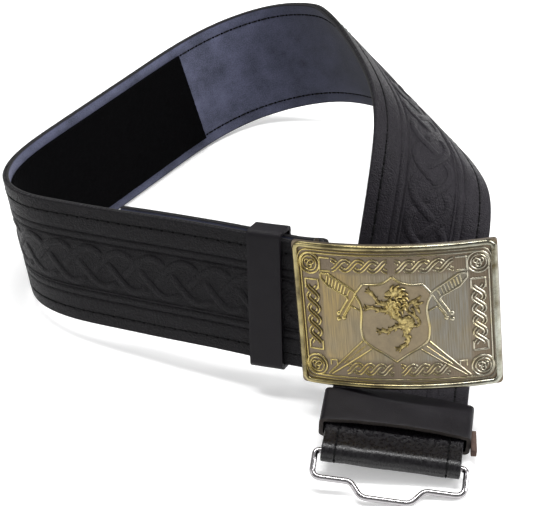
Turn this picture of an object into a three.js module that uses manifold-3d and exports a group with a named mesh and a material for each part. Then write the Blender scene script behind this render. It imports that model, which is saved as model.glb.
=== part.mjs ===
// A leather kilt belt with a cast brass buckle, put down as an open loop: its far side stands on its lower edge, and
// its other end comes down under the buckle and lies flat, with the wire hook loop in front.
// The strap is a flat strip that only bends, never stretches: it is walked from the buckle's bar to the hook wire, and
// every bend is a row of a table. Lengths are millimetres and angles degrees.
import * as THREE from "three";
import { mergeVertices } from "three/addons/utils/BufferGeometryUtils.js";
import Module from "manifold-3d";

const wasm = await Module();
wasm.setup();

const fitGap = 0.3; // air between two pieces that touch

// Strap
const strapWidth = 57;
const waistLength = 660; // along the strap, from the buckle's bar to the hook wire
const faceThickness = 1.5;
const liningThickness = 1.1;
const tailLength = 95; // folded back from the bar
const endTailLength = 34; // folded back from the hook wire
const pinchLength = 14; // over which the two legs of a fold come together
const sagEnd = 70; // from the bar, how far the front sags edgewise under the buckle's weight
const sagTurn = 3;
const barTurn = -8.4; // the buckle's end stays level, so the strap turns back beside the bar

// Hook-and-loop tape, both halves pressed together under the tail
const tapeInset = 5; // from each edge of the strap
const tapeWidth = strapWidth - 2 * tapeInset;
const tapeThickness = 1.2;
const tapeEnd = 294; // from the bar
const tailEase = 0.5; // how far the tail lifts from the tape as both bend

// Keepers
const keeperThickness = 1.8;
const keeperSlack = 1.1; // past each edge of the strap
const keeperEase = 0.6; // over each face of what it holds
const firstKeeperWidth = 15;
const firstKeeperPlace = 16; // from the bar to its near edge
const firstKeeperSkew = 4; // how it sits askew on the strap
const endKeeperWidth = 18;
const endKeeperPlace = 12; // from the hook wire to its near edge
const endKeeperRise = 2; // how far it bulges

// Buckle
const buckleWidth = 84.5;
const buckleMargin = 3.25; // past each edge of the strap, which leaves room for the bar's posts
const buckleHeight = strapWidth + 2 * buckleMargin;
const buckleCorner = 4;
const buckleRadius = 108; // of its curve round the body
const plateThickness = 1.6;
const rimWidth = 2.3;
const rimHeight = 1.1;
const reliefHeight = 0.6;
const lineWidth = 0.7;
const barRadius = 1.6;
const barInset = 9.5; // from the buckle's edge
const barDepth = 15.4; // behind the middle of its face
const barSideGap = 0.6;
const buckleSwing = 22.5; // from square with the strap, as it leans on the strap's other end
const catchWidth = 14;
const catchReach = 10;
const catchDepth = 5;
const catchThickness = 2;
const catchInset = 12; // from the buckle's far edge

// Hook loop
const wireRadius = 1.25;
const loopEase = 1.25; // between its sides and the strap's edges
const loopInside = strapWidth + 2 * loopEase;
const loopReach = 12; // from the leather fold's wire to its front
const loopStep = 6.2; // how far its middle steps out
const stepWidth = 20;
const stepSlant = 5;
const loopCorner = 4;
const foldCorner = 2.4; // beside the leather fold

// How the strap lies. at and span are shares of waistLength, turn is the bend's angle, and slant is how far its fold
// lines lean from straight across the strap.
const bends = [
  { name: "front", at: 0.104, span: 0.165, turn: 3, slant: 37.5 },
  { name: "left turn", at: 0.243, span: 0.172, turn: 107, slant: 8 },
  { name: "far side", at: 0.498, span: 0.194, turn: 64.5, slant: 3 },
  { name: "far corner", at: 0.566, span: 0.174, turn: 46.5, slant: -12 },
  { name: "twist", at: 0.661, span: 0.166, turn: 17, slant: -55 },
  { name: "fall", at: 0.775, span: 0.157, turn: 76.5, slant: -29.5 },
  { name: "landing", at: 0.853, span: 0.058, turn: -64.5, slant: 6 },
];
const frontPlace = new THREE.Vector3(-39.9, -16.1, 39.6); // the strap's middle at the sag's end
const frontHeading = -24.9;
const frontLean = -17;
const frontTilt = -3.7;

const radians = THREE.MathUtils.degToRad;
const faceIn = fitGap / 2;
const faceOut = faceIn + faceThickness;
const liningIn = -faceIn - liningThickness;
const halfStrap = strapWidth / 2;
const turnBack = firstKeeperPlace;

// A fold round a bar: the radius of the strap's middle line there, and the pinch that brings both legs to a set gap.
function fold(rodRadius, legGap) {
  const radius = rodRadius + fitGap - liningIn;
  const close = Math.max(0, 2 * (rodRadius + fitGap) - legGap);
  const pinch = (Math.hypot(pinchLength, 2 * Math.sqrt(radius * close)) - pinchLength) / (2 * radius);
  return { radius, pinch, length: (Math.PI + 2 * pinch) * radius };
}
const tailGap = 2 * fitGap + tapeThickness + tailEase;
const barFold = fold(barRadius, tailGap);
const wireFold = fold(wireRadius, fitGap);

// Where the strap bends, as lengths along it from the bar: a soft bend swells and fades, a fold is an even curve.
const waistBends = bends.map((bend) => ({
  at: bend.at * waistLength,
  span: bend.span * waistLength,
  turn: radians(bend.turn),
}));
const tailStart = -barFold.length;
const endTailStart = waistLength + wireFold.length;
const pinches = [
  { at: pinchLength / 2, span: pinchLength, turn: -barFold.pinch },
  { at: tailStart - pinchLength / 2, span: pinchLength, turn: -barFold.pinch },
  { at: waistLength - pinchLength / 2, span: pinchLength, turn: -wireFold.pinch },
  { at: endTailStart + pinchLength / 2, span: pinchLength, turn: -wireFold.pinch },
];
const folds = [
  { from: tailStart, to: 0, radius: barFold.radius },
  { from: waistLength, to: endTailStart, radius: wireFold.radius },
];
const strapFrom = tailStart - tailLength;
const strapTo = endTailStart + endTailLength;
const slants = [
  { at: 0, slope: 0 },
  ...bends.map((bend) => ({ at: bend.at * waistLength, slope: Math.tan(radians(bend.slant)) })),
  { at: waistLength - pinchLength, slope: 0 },
];

function softCurvature(rows, along) {
  let sum = 0;
  for (const bend of rows) {
    const share = (along - bend.at) / bend.span;
    if (Math.abs(share) < 0.5) sum += (bend.turn / bend.span) * (1 + Math.cos(2 * Math.PI * share));
  }
  return sum;
}

// The tail lies along the inside of the strap, so it bends as the strap does there, the other way round.
function curvature(along) {
  const body = along < tailStart ? -softCurvature(waistBends, tailStart - along) : softCurvature(waistBends, along);
  const round = folds.find((bend) => along > bend.from && along < bend.to);
  return body + softCurvature(pinches, along) + (round ? 1 / round.radius : 0);
}

// How far the fold line at this place runs along the strap for each millimetre across it.
function slope(along) {
  if (along < tailStart) return -slope(tailStart - along);
  if (along <= slants[0].at) return slants[0].slope;
  for (let i = 1; i < slants.length; i++) {
    const [before, after] = [slants[i - 1], slants[i]];
    if (along > after.at) continue;
    const share = (along - before.at) / (after.at - before.at);
    return before.slope + (after.slope - before.slope) * share * share * (3 - 2 * share);
  }
  return slants.at(-1).slope;
}

// The edgewise turn at this place, on both legs of the fold round the bar.
function edgewise(along) {
  const outer = along > 0 ? along : tailStart - along;
  if (outer < 0 || outer > sagEnd) return 0;
  const [turn, length] = outer < turnBack ? [barTurn, turnBack] : [sagTurn, sagEnd - turnBack];
  return radians(turn) / length;
}

// The strap's frame at one place: its middle, the way along it, the way across it and its outward normal.
function frame(along, middle, ahead, across) {
  return { along, middle, ahead, across, out: across.clone().cross(ahead).normalize() };
}

function stepFrom(here, size) {
  const half = here.along + size / 2;
  const spin = here.across
    .clone()
    .addScaledVector(here.ahead, slope(half))
    .multiplyScalar(-curvature(half) * size)
    .addScaledVector(here.out, edgewise(half) * size);
  const angle = spin.length();
  const axis = angle > 0 ? spin.clone().divideScalar(angle) : here.out.clone();
  const middle = here.middle.clone().addScaledVector(here.ahead.clone().applyAxisAngle(axis, angle / 2), size);
  const ahead = here.ahead.clone().applyAxisAngle(axis, angle);
  const across = here.across.clone().applyAxisAngle(axis, angle);
  return frame(here.along + size, middle, ahead, across);
}

// Walks the strap in small steps, with a stop wherever a fold, a pinch or an edgewise turn begins or ends.
const walkStep = 0.5;
const stops = [
  strapFrom,
  tailStart - sagEnd,
  tailStart - turnBack,
  tailStart - pinchLength,
  tailStart,
  0,
  pinchLength,
  turnBack,
  sagEnd,
  tapeEnd,
  waistLength - pinchLength,
  waistLength,
  endTailStart,
  endTailStart + pinchLength,
  strapTo,
];
function walk(start, end) {
  const way = Math.sign(end - start.along);
  const between = stops.filter((stop) => (stop - start.along) * way > 0 && (end - stop) * way >= 0);
  const walked = [start];
  for (const stop of between.sort((a, b) => (a - b) * way)) {
    const from = walked.at(-1).along;
    const steps = Math.ceil(Math.abs(stop - from) / walkStep);
    for (let i = 0; i < steps; i++) walked.push(stepFrom(walked.at(-1), (stop - from) / steps));
    walked.at(-1).along = stop;
  }
  return walked;
}

// Both walks start where the sag ends.
const turned = new THREE.Matrix4().makeRotationFromEuler(
  new THREE.Euler(radians(frontLean), radians(frontTilt), radians(frontHeading), "ZXY"),
);
const startAhead = new THREE.Vector3(-1, 0, 0).transformDirection(turned);
const startAcross = new THREE.Vector3(0, 0, 1).transformDirection(turned);
const start = frame(sagEnd, frontPlace, startAhead, startAcross);
const places = [...walk(start, strapFrom).reverse(), ...walk(start, strapTo).slice(1)];

function placeAt(along) {
  return places.reduce((best, place) =>
    Math.abs(place.along - along) < Math.abs(best.along - along) ? place : best,
  );
}

// Enough of the places between two ends to follow the bends.
const turnPerFacet = radians(4.5);
const longestFacet = 25;
function stations(from, to) {
  const stretch = places.filter((place) => place.along >= from && place.along <= to);
  const chosen = [stretch[0]];
  let turn = 0;
  for (const place of stretch.slice(1, -1)) {
    turn += Math.abs(curvature(place.along)) * walkStep;
    const tight = Math.abs(curvature(place.along)) > 0.1 ? 3.5 : 1;
    const due = turn > turnPerFacet * tight || place.along - chosen.at(-1).along > longestFacet;
    if (!due && !stops.includes(place.along)) continue;
    chosen.push(place);
    turn = 0;
  }
  chosen.push(stretch.at(-1));
  return chosen;
}

// A layer of the strap: a wall between two offsets from its middle surface, with straight ends.
function layer(from, to, width, low, high) {
  const points = [];
  const faces = [];
  const line = stations(from, to);
  const corners = [
    [width / 2, high],
    [-width / 2, high],
    [-width / 2, low],
    [width / 2, low],
  ];
  line.forEach((place, i) => {
    const lean = i === 0 || i === line.length - 1 ? 0 : slope(place.along);
    for (const [side, offset] of corners)
      points.push(
        place.middle
          .clone()
          .addScaledVector(place.across, side)
          .addScaledVector(place.ahead, side * lean)
          .addScaledVector(place.out, offset),
      );
    if (i === 0) return;
    const [a, b] = [4 * (i - 1), 4 * i];
    for (let c = 0; c < 4; c++) {
      const d = (c + 1) % 4;
      faces.push([a + c, b + c, b + d], [a + c, b + d, a + d]);
    }
  });
  const last = points.length - 4;
  faces.push([0, 1, 2], [0, 2, 3], [last, last + 2, last + 1], [last, last + 3, last + 2]);
  const geometry = new THREE.BufferGeometry().setFromPoints(points);
  geometry.setIndex(faces.flat());
  return outward(geometry);
}

// A closed mesh with its faces turned outward.
function outward(geometry) {
  const position = geometry.getAttribute("position");
  const index = geometry.index.array;
  const [a, b, c] = [0, 1, 2].map(() => new THREE.Vector3());
  let volume = 0;
  for (let i = 0; i < index.length; i += 3) {
    [a, b, c].forEach((point, k) => point.fromBufferAttribute(position, index[i + k]));
    volume += a.dot(b.cross(c));
  }
  if (volume < 0) for (let i = 0; i < index.length; i += 3) [index[i], index[i + 1]] = [index[i + 1], index[i]];
  return geometry;
}

function solid(geometry) {
  const bare = geometry.clone();
  for (const name of ["normal", "uv"]) bare.deleteAttribute(name);
  const merged = mergeVertices(bare, 1e-5);
  return new wasm.Manifold(
    new wasm.Mesh({
      numProp: 3,
      vertProperties: new Float32Array(merged.getAttribute("position").array),
      triVerts: new Uint32Array(merged.index.array),
    }),
  );
}

function geometryOf(body) {
  const mesh = body.getMesh();
  const geometry = new THREE.BufferGeometry();
  geometry.setAttribute("position", new THREE.BufferAttribute(mesh.vertProperties, 3));
  geometry.setIndex(new THREE.BufferAttribute(mesh.triVerts, 1));
  return geometry;
}

function joined(bodies) {
  return bodies.reduce((sum, body) => sum.add(body));
}

// Turns a shape drawn across the strap (x) and out from it (y) to stand at a place and run back along the strap (z).
function standAt(geometry, place) {
  const matrix = new THREE.Matrix4().makeBasis(place.across, place.out, place.ahead.clone().negate());
  return geometry.applyMatrix4(matrix.setPosition(place.middle));
}

function roundedBox(low, high, side, corner, rise) {
  const shape = new THREE.Shape();
  shape.moveTo(side, low + corner);
  shape.lineTo(side, high - corner);
  shape.quadraticCurveTo(side, high, side - corner, high);
  shape.quadraticCurveTo(0, high + 2 * rise, -side + corner, high);
  shape.quadraticCurveTo(-side, high, -side, high - corner);
  shape.lineTo(-side, low + corner);
  shape.quadraticCurveTo(-side, low, -side + corner, low);
  shape.lineTo(side - corner, low);
  shape.quadraticCurveTo(side, low, side, low + corner);
  return shape;
}

// A band of leather round both legs of a fold, given the gap between their linings.
function keeper(place, width, legGap, rise, skew) {
  const inner = { low: 2 * liningIn - legGap - faceOut - keeperEase, high: faceOut + keeperEase };
  const side = halfStrap + keeperSlack;
  const outline = roundedBox(
    inner.low - keeperThickness,
    inner.high + keeperThickness,
    side + keeperThickness,
    keeperThickness + 1,
    rise,
  );
  outline.holes.push(roundedBox(inner.low, inner.high, side, 1, rise));
  const band = new THREE.ExtrudeGeometry(outline, { depth: width, bevelEnabled: false, curveSegments: 6 });
  return standAt(band.translate(0, 0, -width / 2).rotateY(radians(skew)), place);
}

// The buckle is drawn with x across it, y up it and z out of its face, whose middle is the origin.
function slab(low, high) {
  const reach = Math.asin((buckleWidth / 2 + 2) / buckleRadius);
  const shape = new THREE.Shape();
  shape.absarc(0, -buckleRadius, buckleRadius + high, Math.PI / 2 - reach, Math.PI / 2 + reach, false);
  shape.absarc(0, -buckleRadius, buckleRadius + low, Math.PI / 2 + reach, Math.PI / 2 - reach, true);
  const depth = buckleHeight + 4;
  const extruded = new THREE.ExtrudeGeometry(shape, { depth, bevelEnabled: false, curveSegments: 16 });
  return solid(extruded.translate(0, 0, -depth / 2).rotateX(Math.PI / 2));
}

function prism(shape) {
  const depth = 60;
  const extruded = new THREE.ExtrudeGeometry(shape, { depth, bevelEnabled: false, curveSegments: 4 });
  return solid(extruded.translate(0, 0, -depth / 2));
}

function plateOutline(inset) {
  const [x, y, corner] = [buckleWidth / 2 - inset, buckleHeight / 2 - inset, Math.max(0.5, buckleCorner - inset)];
  const shape = new THREE.Shape();
  shape.absarc(x - corner, y - corner, corner, 0, Math.PI / 2);
  shape.absarc(-x + corner, y - corner, corner, Math.PI / 2, Math.PI);
  shape.absarc(-x + corner, -y + corner, corner, Math.PI, 1.5 * Math.PI);
  shape.absarc(x - corner, -y + corner, corner, 1.5 * Math.PI, 2 * Math.PI);
  return shape;
}

function frameBetween(outerInset, innerInset) {
  const shape = plateOutline(outerInset);
  shape.holes.push(plateOutline(innerInset));
  return shape;
}

// A brush stroke through a few points, each with its half width.
function stroke(points, pieces = 3) {
  const curve = new THREE.CatmullRomCurve3(points.map(([x, y, half]) => new THREE.Vector3(x, y, half)));
  const spine = curve.getPoints(pieces * (points.length - 1));
  const sides = [[], []];
  spine.forEach((point, i) => {
    const [before, after] = [spine[Math.max(0, i - 1)], spine[Math.min(spine.length - 1, i + 1)]];
    const across = new THREE.Vector2(before.y - after.y, after.x - before.x).normalize();
    sides[0].push(new THREE.Vector2(point.x + across.x * point.z, point.y + across.y * point.z));
    sides[1].unshift(new THREE.Vector2(point.x - across.x * point.z, point.y - across.y * point.z));
  });
  return new THREE.Shape([...sides[0], ...sides[1]]);
}

function ring(x, y, radius) {
  const shape = new THREE.Shape();
  shape.absarc(x, y, radius + lineWidth / 2, 0, 2 * Math.PI);
  const hole = new THREE.Path();
  hole.absarc(x, y, radius - lineWidth / 2, 0, 2 * Math.PI);
  shape.holes.push(hole);
  return shape;
}

// Places on the buckle's face, as shares of its width and height.
const across = (share) => share * buckleWidth;
const upward = (share) => share * buckleHeight;

// Two strands that wave past each other, in a panel centred at x, y.
function plait(x, y, length, turns, standing) {
  const half = 1.9;
  return [1, -1].map((side) => {
    const points = [];
    for (let i = 0; i <= 4 * turns; i++) {
      const along = (i / (4 * turns) - 0.5) * length;
      const off = side * half * Math.cos((Math.PI / 2) * i);
      points.push(standing ? [x + off, y + along, lineWidth * 0.6] : [x + along, y + off, lineWidth * 0.6]);
    }
    return stroke(points, 1);
  });
}

function shieldOutline(grow) {
  const half = [
    [0, 0.29],
    [0.05, 0.24],
    [0.145, 0.231],
    [0.185, 0.16],
    [0.152, 0.07],
    [0.162, -0.06],
    [0.135, -0.165],
    [0.06, -0.245],
    [0, -0.303],
  ];
  const left = half.map(([x, y]) => new THREE.Vector2(-across(x), upward(y)).multiplyScalar(grow));
  const right = left.slice(1, -1).reverse().map((point) => new THREE.Vector2(-point.x, point.y));
  return new THREE.Shape([...left, ...right]);
}

function sword(side) {
  const place = ([x, y, half]) => [side * across(x), upward(y), half];
  return [
    stroke([[-0.33, 0.265, 2.1], [-0.2, 0.17, 1.6]].map(place), 1), // grip
    stroke([[-0.175, 0.2, 0.9], [-0.262, 0.01, 0.7]].map(place), 1), // guard
    stroke([[-0.2, 0.17, 2.3], [0.2, -0.225, 2.3], [0.362, -0.42, 0.3]].map(place), 1), // blade
  ];
}

function ball(x, y, radius) {
  const shape = new THREE.Shape();
  shape.absarc(x, y, radius, 0, 2 * Math.PI);
  return shape;
}

// A lion standing on one leg, facing left: points are shares of the shield's half width and half height.
const lionStrokes = [
  [[0.12, 0.45, 2.6], [0.05, 0.2, 3.1], [0.22, -0.1, 2.0], [0.35, -0.28, 2.4]], // mane, chest, waist and haunch
  [[-0.02, 0.62, 2.2], [0.3, 0.55, 1.6]], // head
  [[-0.05, 0.3, 1.3], [-0.55, 0.36, 0.9], [-0.78, 0.58, 1.1]], // raised foreleg
  [[0, 0.12, 1.3], [-0.5, 0.02, 0.9], [-0.85, 0.12, 1.1]], // reaching foreleg
  [[0.25, -0.25, 1.9], [-0.15, -0.28, 1.2], [-0.35, -0.42, 1.0], [-0.6, -0.3, 1.1]], // lifted hind leg
  [[0.35, -0.25, 1.9], [0.12, -0.48, 1.1], [0.3, -0.62, 0.9], [0.1, -0.76, 1.0]], // standing hind leg
  [[0.5, -0.25, 0.7], [0.92, -0.15, 0.6], [0.6, 0.12, 0.6], [0.75, 0.35, 1.4], [0.85, 0.42, 0.3]], // tail
];
function lion() {
  const [wide, tall] = [across(0.155), upward(0.26)];
  return lionStrokes.map((points) => stroke(points.map(([x, y, half]) => [x * wide, y * tall, half])));
}

function buckleFace() {
  const raise = (shapes, height) => joined(shapes.map(prism)).intersect(slab(-0.3, height));
  const plate = prism(plateOutline(0)).intersect(slab(-plateThickness, 0));
  const border = frameBetween(rimWidth + lineWidth, rimWidth + 2 * lineWidth);
  const roundels = [];
  for (const side of [-1, 1])
    for (const end of [-1, 1])
      for (const radius of [3.8, 1.7]) roundels.push(ring(side * across(0.407), end * upward(0.36), radius));
  const plaits = [];
  for (const side of [-1, 1]) {
    plaits.push(...plait(side * across(0.404), 0, upward(0.51), 5, true));
    for (const end of [-1, 1]) {
      const length = across(end > 0 ? 0.31 : 0.21);
      plaits.push(...plait(side * (length / 2 + 1.6), end * upward(0.36), length, end > 0 ? 4 : 3, false));
    }
  }
  const swords = [...sword(1), ...sword(-1)];
  for (const side of [-1, 1]) swords.push(ball(side * across(0.262), upward(0.01), 1.7));
  const shieldRim = shieldOutline(1);
  shieldRim.holes.push(shieldOutline(0.94));
  const field = raise(swords, reliefHeight).subtract(prism(shieldOutline(0.97)));
  return joined([
    plate,
    raise([frameBetween(0, rimWidth)], rimHeight),
    raise([border, ...roundels, ...plaits], reliefHeight),
    field,
    raise([shieldRim, ...lion()], reliefHeight),
  ]);
}

function rod(from, to, radius, sides = 12) {
  const way = to.clone().sub(from);
  const bar = new THREE.CylinderGeometry(radius, radius, way.length(), sides);
  bar.applyQuaternion(new THREE.Quaternion().setFromUnitVectors(new THREE.Vector3(0, 1, 0), way.normalize()));
  const middle = from.clone().add(to).multiplyScalar(0.5);
  return solid(bar.translate(middle.x, middle.y, middle.z));
}

function faceDepth(x) {
  return Math.sqrt(buckleRadius ** 2 - x ** 2) - buckleRadius;
}

const barX = -buckleWidth / 2 + barInset;
function buckleBar() {
  const end = halfStrap + barSideGap + barRadius;
  const back = faceDepth(barX) - plateThickness / 2;
  const parts = [rod(new THREE.Vector3(barX, -end, -barDepth), new THREE.Vector3(barX, end, -barDepth), barRadius)];
  for (const side of [-1, 1]) {
    const elbow = new THREE.SphereGeometry(barRadius, 12, 8).translate(barX, side * end, -barDepth);
    const foot = new THREE.Vector3(barX, side * end, back);
    parts.push(solid(elbow), rod(new THREE.Vector3(barX, side * end, -barDepth), foot, barRadius));
  }
  return joined(parts);
}

// The catch that takes the hook loop: a foot at the far side and a lip that points back to the middle.
function buckleCatch() {
  const x = buckleWidth / 2 - catchInset;
  const top = faceDepth(x) - plateThickness / 2;
  const low = top - catchDepth - catchThickness;
  const foot = new THREE.BoxGeometry(catchThickness, catchWidth, top - low);
  foot.translate(x, 0, (top + low) / 2);
  const lip = new THREE.BoxGeometry(catchReach, catchWidth, catchThickness);
  lip.translate(x - catchReach / 2 + catchThickness / 2, 0, low + catchThickness / 2);
  return joined([solid(foot), solid(lip)]);
}

const barPlaceOnStrap = placeAt(0);
const barAxis = barPlaceOnStrap.across.clone();
const barMiddle = barPlaceOnStrap.middle.clone().addScaledVector(barPlaceOnStrap.out, -barFold.radius);
function buckleMatrix() {
  const wide = barPlaceOnStrap.ahead
    .clone()
    .negate()
    .applyAxisAngle(barPlaceOnStrap.across, -barFold.pinch)
    .applyAxisAngle(barAxis, radians(buckleSwing));
  const out = wide.clone().cross(barAxis);
  const origin = barMiddle.clone().addScaledVector(wide, -barX).addScaledVector(out, barDepth);
  return new THREE.Matrix4().makeBasis(wide, barAxis, out).setPosition(origin);
}

// The hook loop's wire, as a closed line with x across, y forward from the fold's wire.
function loopPath() {
  const side = loopInside / 2 + wireRadius;
  const half = stepWidth / 2;
  const corners = [
    [-side, 0, foldCorner],
    [side, 0, foldCorner],
    [side, loopReach, loopCorner],
    [half + stepSlant, loopReach, 2],
    [half, loopReach + loopStep, 2.5],
    [-half, loopReach + loopStep, 2.5],
    [-half - stepSlant, loopReach, 2],
    [-side, loopReach, loopCorner],
  ].map(([x, y, radius]) => ({ point: new THREE.Vector3(x, y, 0), radius }));
  const path = new THREE.CurvePath();
  corners.forEach(({ point, radius }, i) => {
    const next = corners[(i + 1) % corners.length];
    const before = corners.at(i - 1).point;
    const into = point.clone().lerp(before, radius / point.distanceTo(before));
    const away = point.clone().lerp(next.point, radius / point.distanceTo(next.point));
    path.add(new THREE.QuadraticBezierCurve3(into, point, away));
    path.add(new THREE.LineCurve3(away, next.point.clone().lerp(point, next.radius / point.distanceTo(next.point))));
  });
  return path;
}

// A round wire along a closed line that lies in the plane z = 0.
function closedWire(path, radius, sides) {
  const line = path.curves.flatMap((curve) => curve.getPoints(curve.isLineCurve3 ? 1 : 4).slice(0, -1));
  const points = [];
  const faces = [];
  line.forEach((point, i) => {
    const after = line[(i + 1) % line.length].clone().sub(point).normalize();
    const before = point.clone().sub(line.at(i - 1)).normalize();
    const ahead = after.clone().add(before).normalize();
    const aside = new THREE.Vector3(ahead.y, -ahead.x, 0).divideScalar(ahead.dot(after));
    for (let k = 0; k < sides; k++) {
      const angle = (2 * Math.PI * k) / sides;
      const up = new THREE.Vector3(0, 0, radius * Math.sin(angle));
      points.push(point.clone().add(up).addScaledVector(aside, radius * Math.cos(angle)));
      const [a, b] = [i * sides + k, ((i + 1) % line.length) * sides + k];
      const [c, d] = [i * sides + ((k + 1) % sides), ((i + 1) % line.length) * sides + ((k + 1) % sides)];
      faces.push([a, b, d], [a, d, c]);
    }
  });
  const geometry = new THREE.BufferGeometry().setFromPoints(points);
  geometry.setIndex(faces.flat());
  return outward(geometry);
}

const wirePlaceOnStrap = placeAt(waistLength);
const wireMiddle = wirePlaceOnStrap.middle.clone().addScaledVector(wirePlaceOnStrap.out, -wireFold.radius);

// The loop hangs from the fold until some point of its front meets the floor.
function loopMatrix(floor) {
  const wide = wirePlaceOnStrap.across.clone();
  const level = new THREE.Vector3(0, 0, 1).cross(wide).normalize();
  const up = wide.clone().cross(level);
  const front = loopPath().getPoints(4).filter((point) => point.y > loopReach / 2);
  const drops = front.map(({ x, y }) => (wireMiddle.z + x * wide.z - wireRadius - floor) / (y * up.z));
  const droop = Math.asin(Math.min(...drops));
  const forward = level.applyAxisAngle(wide, -droop);
  return new THREE.Matrix4().makeBasis(wide, forward, wide.clone().cross(forward)).setPosition(wireMiddle);
}

const finishes = {
  blackLeather: { color: 0x1b1a1d, roughness: 0.45, metalness: 0 },
  lining: { color: 0x474c5c, roughness: 0.95, metalness: 0 },
  tape: { color: 0x0d0d10, roughness: 1, metalness: 0 },
  brass: { color: 0x9c8c5f, roughness: 0.35, metalness: 1 },
  chrome: { color: 0xc9cbce, roughness: 0.15, metalness: 1 },
};

const belt = new THREE.Group();
function add(name, geometry, finish) {
  const mesh = new THREE.Mesh(geometry, new THREE.MeshStandardMaterial(finishes[finish]));
  mesh.name = name;
  belt.add(mesh);
  return mesh;
}

add("strap_face", layer(strapFrom, strapTo, strapWidth, faceIn, faceOut), "blackLeather");
add("strap_lining", layer(strapFrom, strapTo, strapWidth, liningIn, -faceIn), "lining");
const tapeTop = liningIn - fitGap;
add("loop_tape", layer(pinchLength, tapeEnd, tapeWidth, tapeTop - tapeThickness, tapeTop), "tape");
add(
  "keeper_buckle_end",
  keeper(placeAt(firstKeeperPlace + firstKeeperWidth / 2), firstKeeperWidth, tailGap, 0, firstKeeperSkew),
  "blackLeather",
);
add(
  "keeper_hook_end",
  keeper(placeAt(waistLength - endKeeperPlace - endKeeperWidth / 2), endKeeperWidth, fitGap, endKeeperRise, 0),
  "blackLeather",
);
const buckle = joined([buckleFace(), buckleBar(), buckleCatch()]);
add("buckle", geometryOf(buckle), "brass").applyMatrix4(buckleMatrix());
const floor = new THREE.Box3().setFromObject(belt, true).min.z;
add("wire_loop", closedWire(loopPath(), wireRadius, 10), "chrome").applyMatrix4(loopMatrix(floor));

// The origin is the middle of the foot of the belt's box.
const box = new THREE.Box3().setFromObject(belt, true);
const middle = box.getCenter(new THREE.Vector3());
belt.position.set(-middle.x, -middle.y, -box.min.z);

export default belt;
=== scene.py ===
import math

import bmesh
import bpy
import numpy as np
from mathutils import Matrix, Vector, noise


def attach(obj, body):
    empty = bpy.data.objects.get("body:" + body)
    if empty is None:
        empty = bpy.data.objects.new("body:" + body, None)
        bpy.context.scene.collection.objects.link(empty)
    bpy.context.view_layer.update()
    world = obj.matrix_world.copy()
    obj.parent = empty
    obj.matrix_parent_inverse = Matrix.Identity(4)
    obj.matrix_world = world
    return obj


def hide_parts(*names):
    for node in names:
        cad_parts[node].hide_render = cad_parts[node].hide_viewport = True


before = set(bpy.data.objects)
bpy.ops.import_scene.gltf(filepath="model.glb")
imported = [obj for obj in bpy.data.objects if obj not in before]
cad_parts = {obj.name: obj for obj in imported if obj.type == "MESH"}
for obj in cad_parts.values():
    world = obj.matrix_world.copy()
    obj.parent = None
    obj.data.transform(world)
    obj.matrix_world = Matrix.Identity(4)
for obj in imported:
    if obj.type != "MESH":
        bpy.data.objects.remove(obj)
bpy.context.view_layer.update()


# Pale floor, lamps and camera
# A sheet of matt white paper lies under the belt, and broad softboxes stand above it, in front and at both
# sides. The camera looks down from the front through a long lens, held with a slight roll.
def linear(colour):
    """A linear colour from an sRGB hex value such as "d9a441"."""
    channels = []
    for start in (0, 2, 4):
        value = int(colour[start : start + 2], 16) / 255
        channels.append(value / 12.92 if value <= 0.04045 else ((value + 0.055) / 1.055) ** 2.4)
    return (*channels, 1.0)


def new_material(name):
    """An empty node material with its output node."""
    material = bpy.data.materials.new(name)
    material.use_nodes = True
    material.node_tree.nodes.clear()
    add_node(material, "ShaderNodeOutputMaterial", {}, {})
    return material


def add_node(material, kind, settings, links):
    """A node of that kind, with settings by attribute or input name, and its inputs linked to outputs."""
    made = material.node_tree.nodes.new(kind)
    for name, value in settings.items():
        if isinstance(name, str) and hasattr(made, name):
            setattr(made, name, value)
        else:
            made.inputs[name].default_value = value
    for name, output in links.items():
        material.node_tree.links.new(output, made.inputs[name])
    return made


def finish_material(material, shader):
    """Joins the shader to the material's output."""
    output = material.node_tree.nodes["Material Output"]
    material.node_tree.links.new(shader.outputs[0], output.inputs["Surface"])


paper_colour = "f4f4f4"
floor_half_size = 3.0

# Matt photographic paper on a light table: no gloss, a very even white, and lit a little from below.
paper = new_material("matt_white_paper")
paper_place = add_node(paper, "ShaderNodeTexCoord", {}, {})
paper_fibre = add_node(
    paper,
    "ShaderNodeTexNoise",
    {"Scale": 900.0},
    {"Vector": paper_place.outputs["Object"]},
)
paper_bump = add_node(
    paper, "ShaderNodeBump", {"Strength": 0.05, "Distance": 0.0002}, {"Height": paper_fibre.outputs["Fac"]}
)
finish_material(
    paper,
    add_node(
        paper,
        "ShaderNodeBsdfPrincipled",
        {
            "Base Color": linear(paper_colour),
            "Roughness": 0.9,
            "Emission Color": linear("ffffff"),
            "Emission Strength": 0.3,
        },
        {"Normal": paper_bump.outputs["Normal"]},
    ),
)

floor_shape = bmesh.new()
bmesh.ops.create_grid(floor_shape, x_segments=2, y_segments=2, size=floor_half_size)
floor_mesh = bpy.data.meshes.new("floor")
floor_shape.to_mesh(floor_mesh)
floor_shape.free()
floor_mesh.materials.append(paper)
floor = bpy.data.objects.new("floor", floor_mesh)
bpy.context.scene.collection.objects.link(floor)

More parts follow.
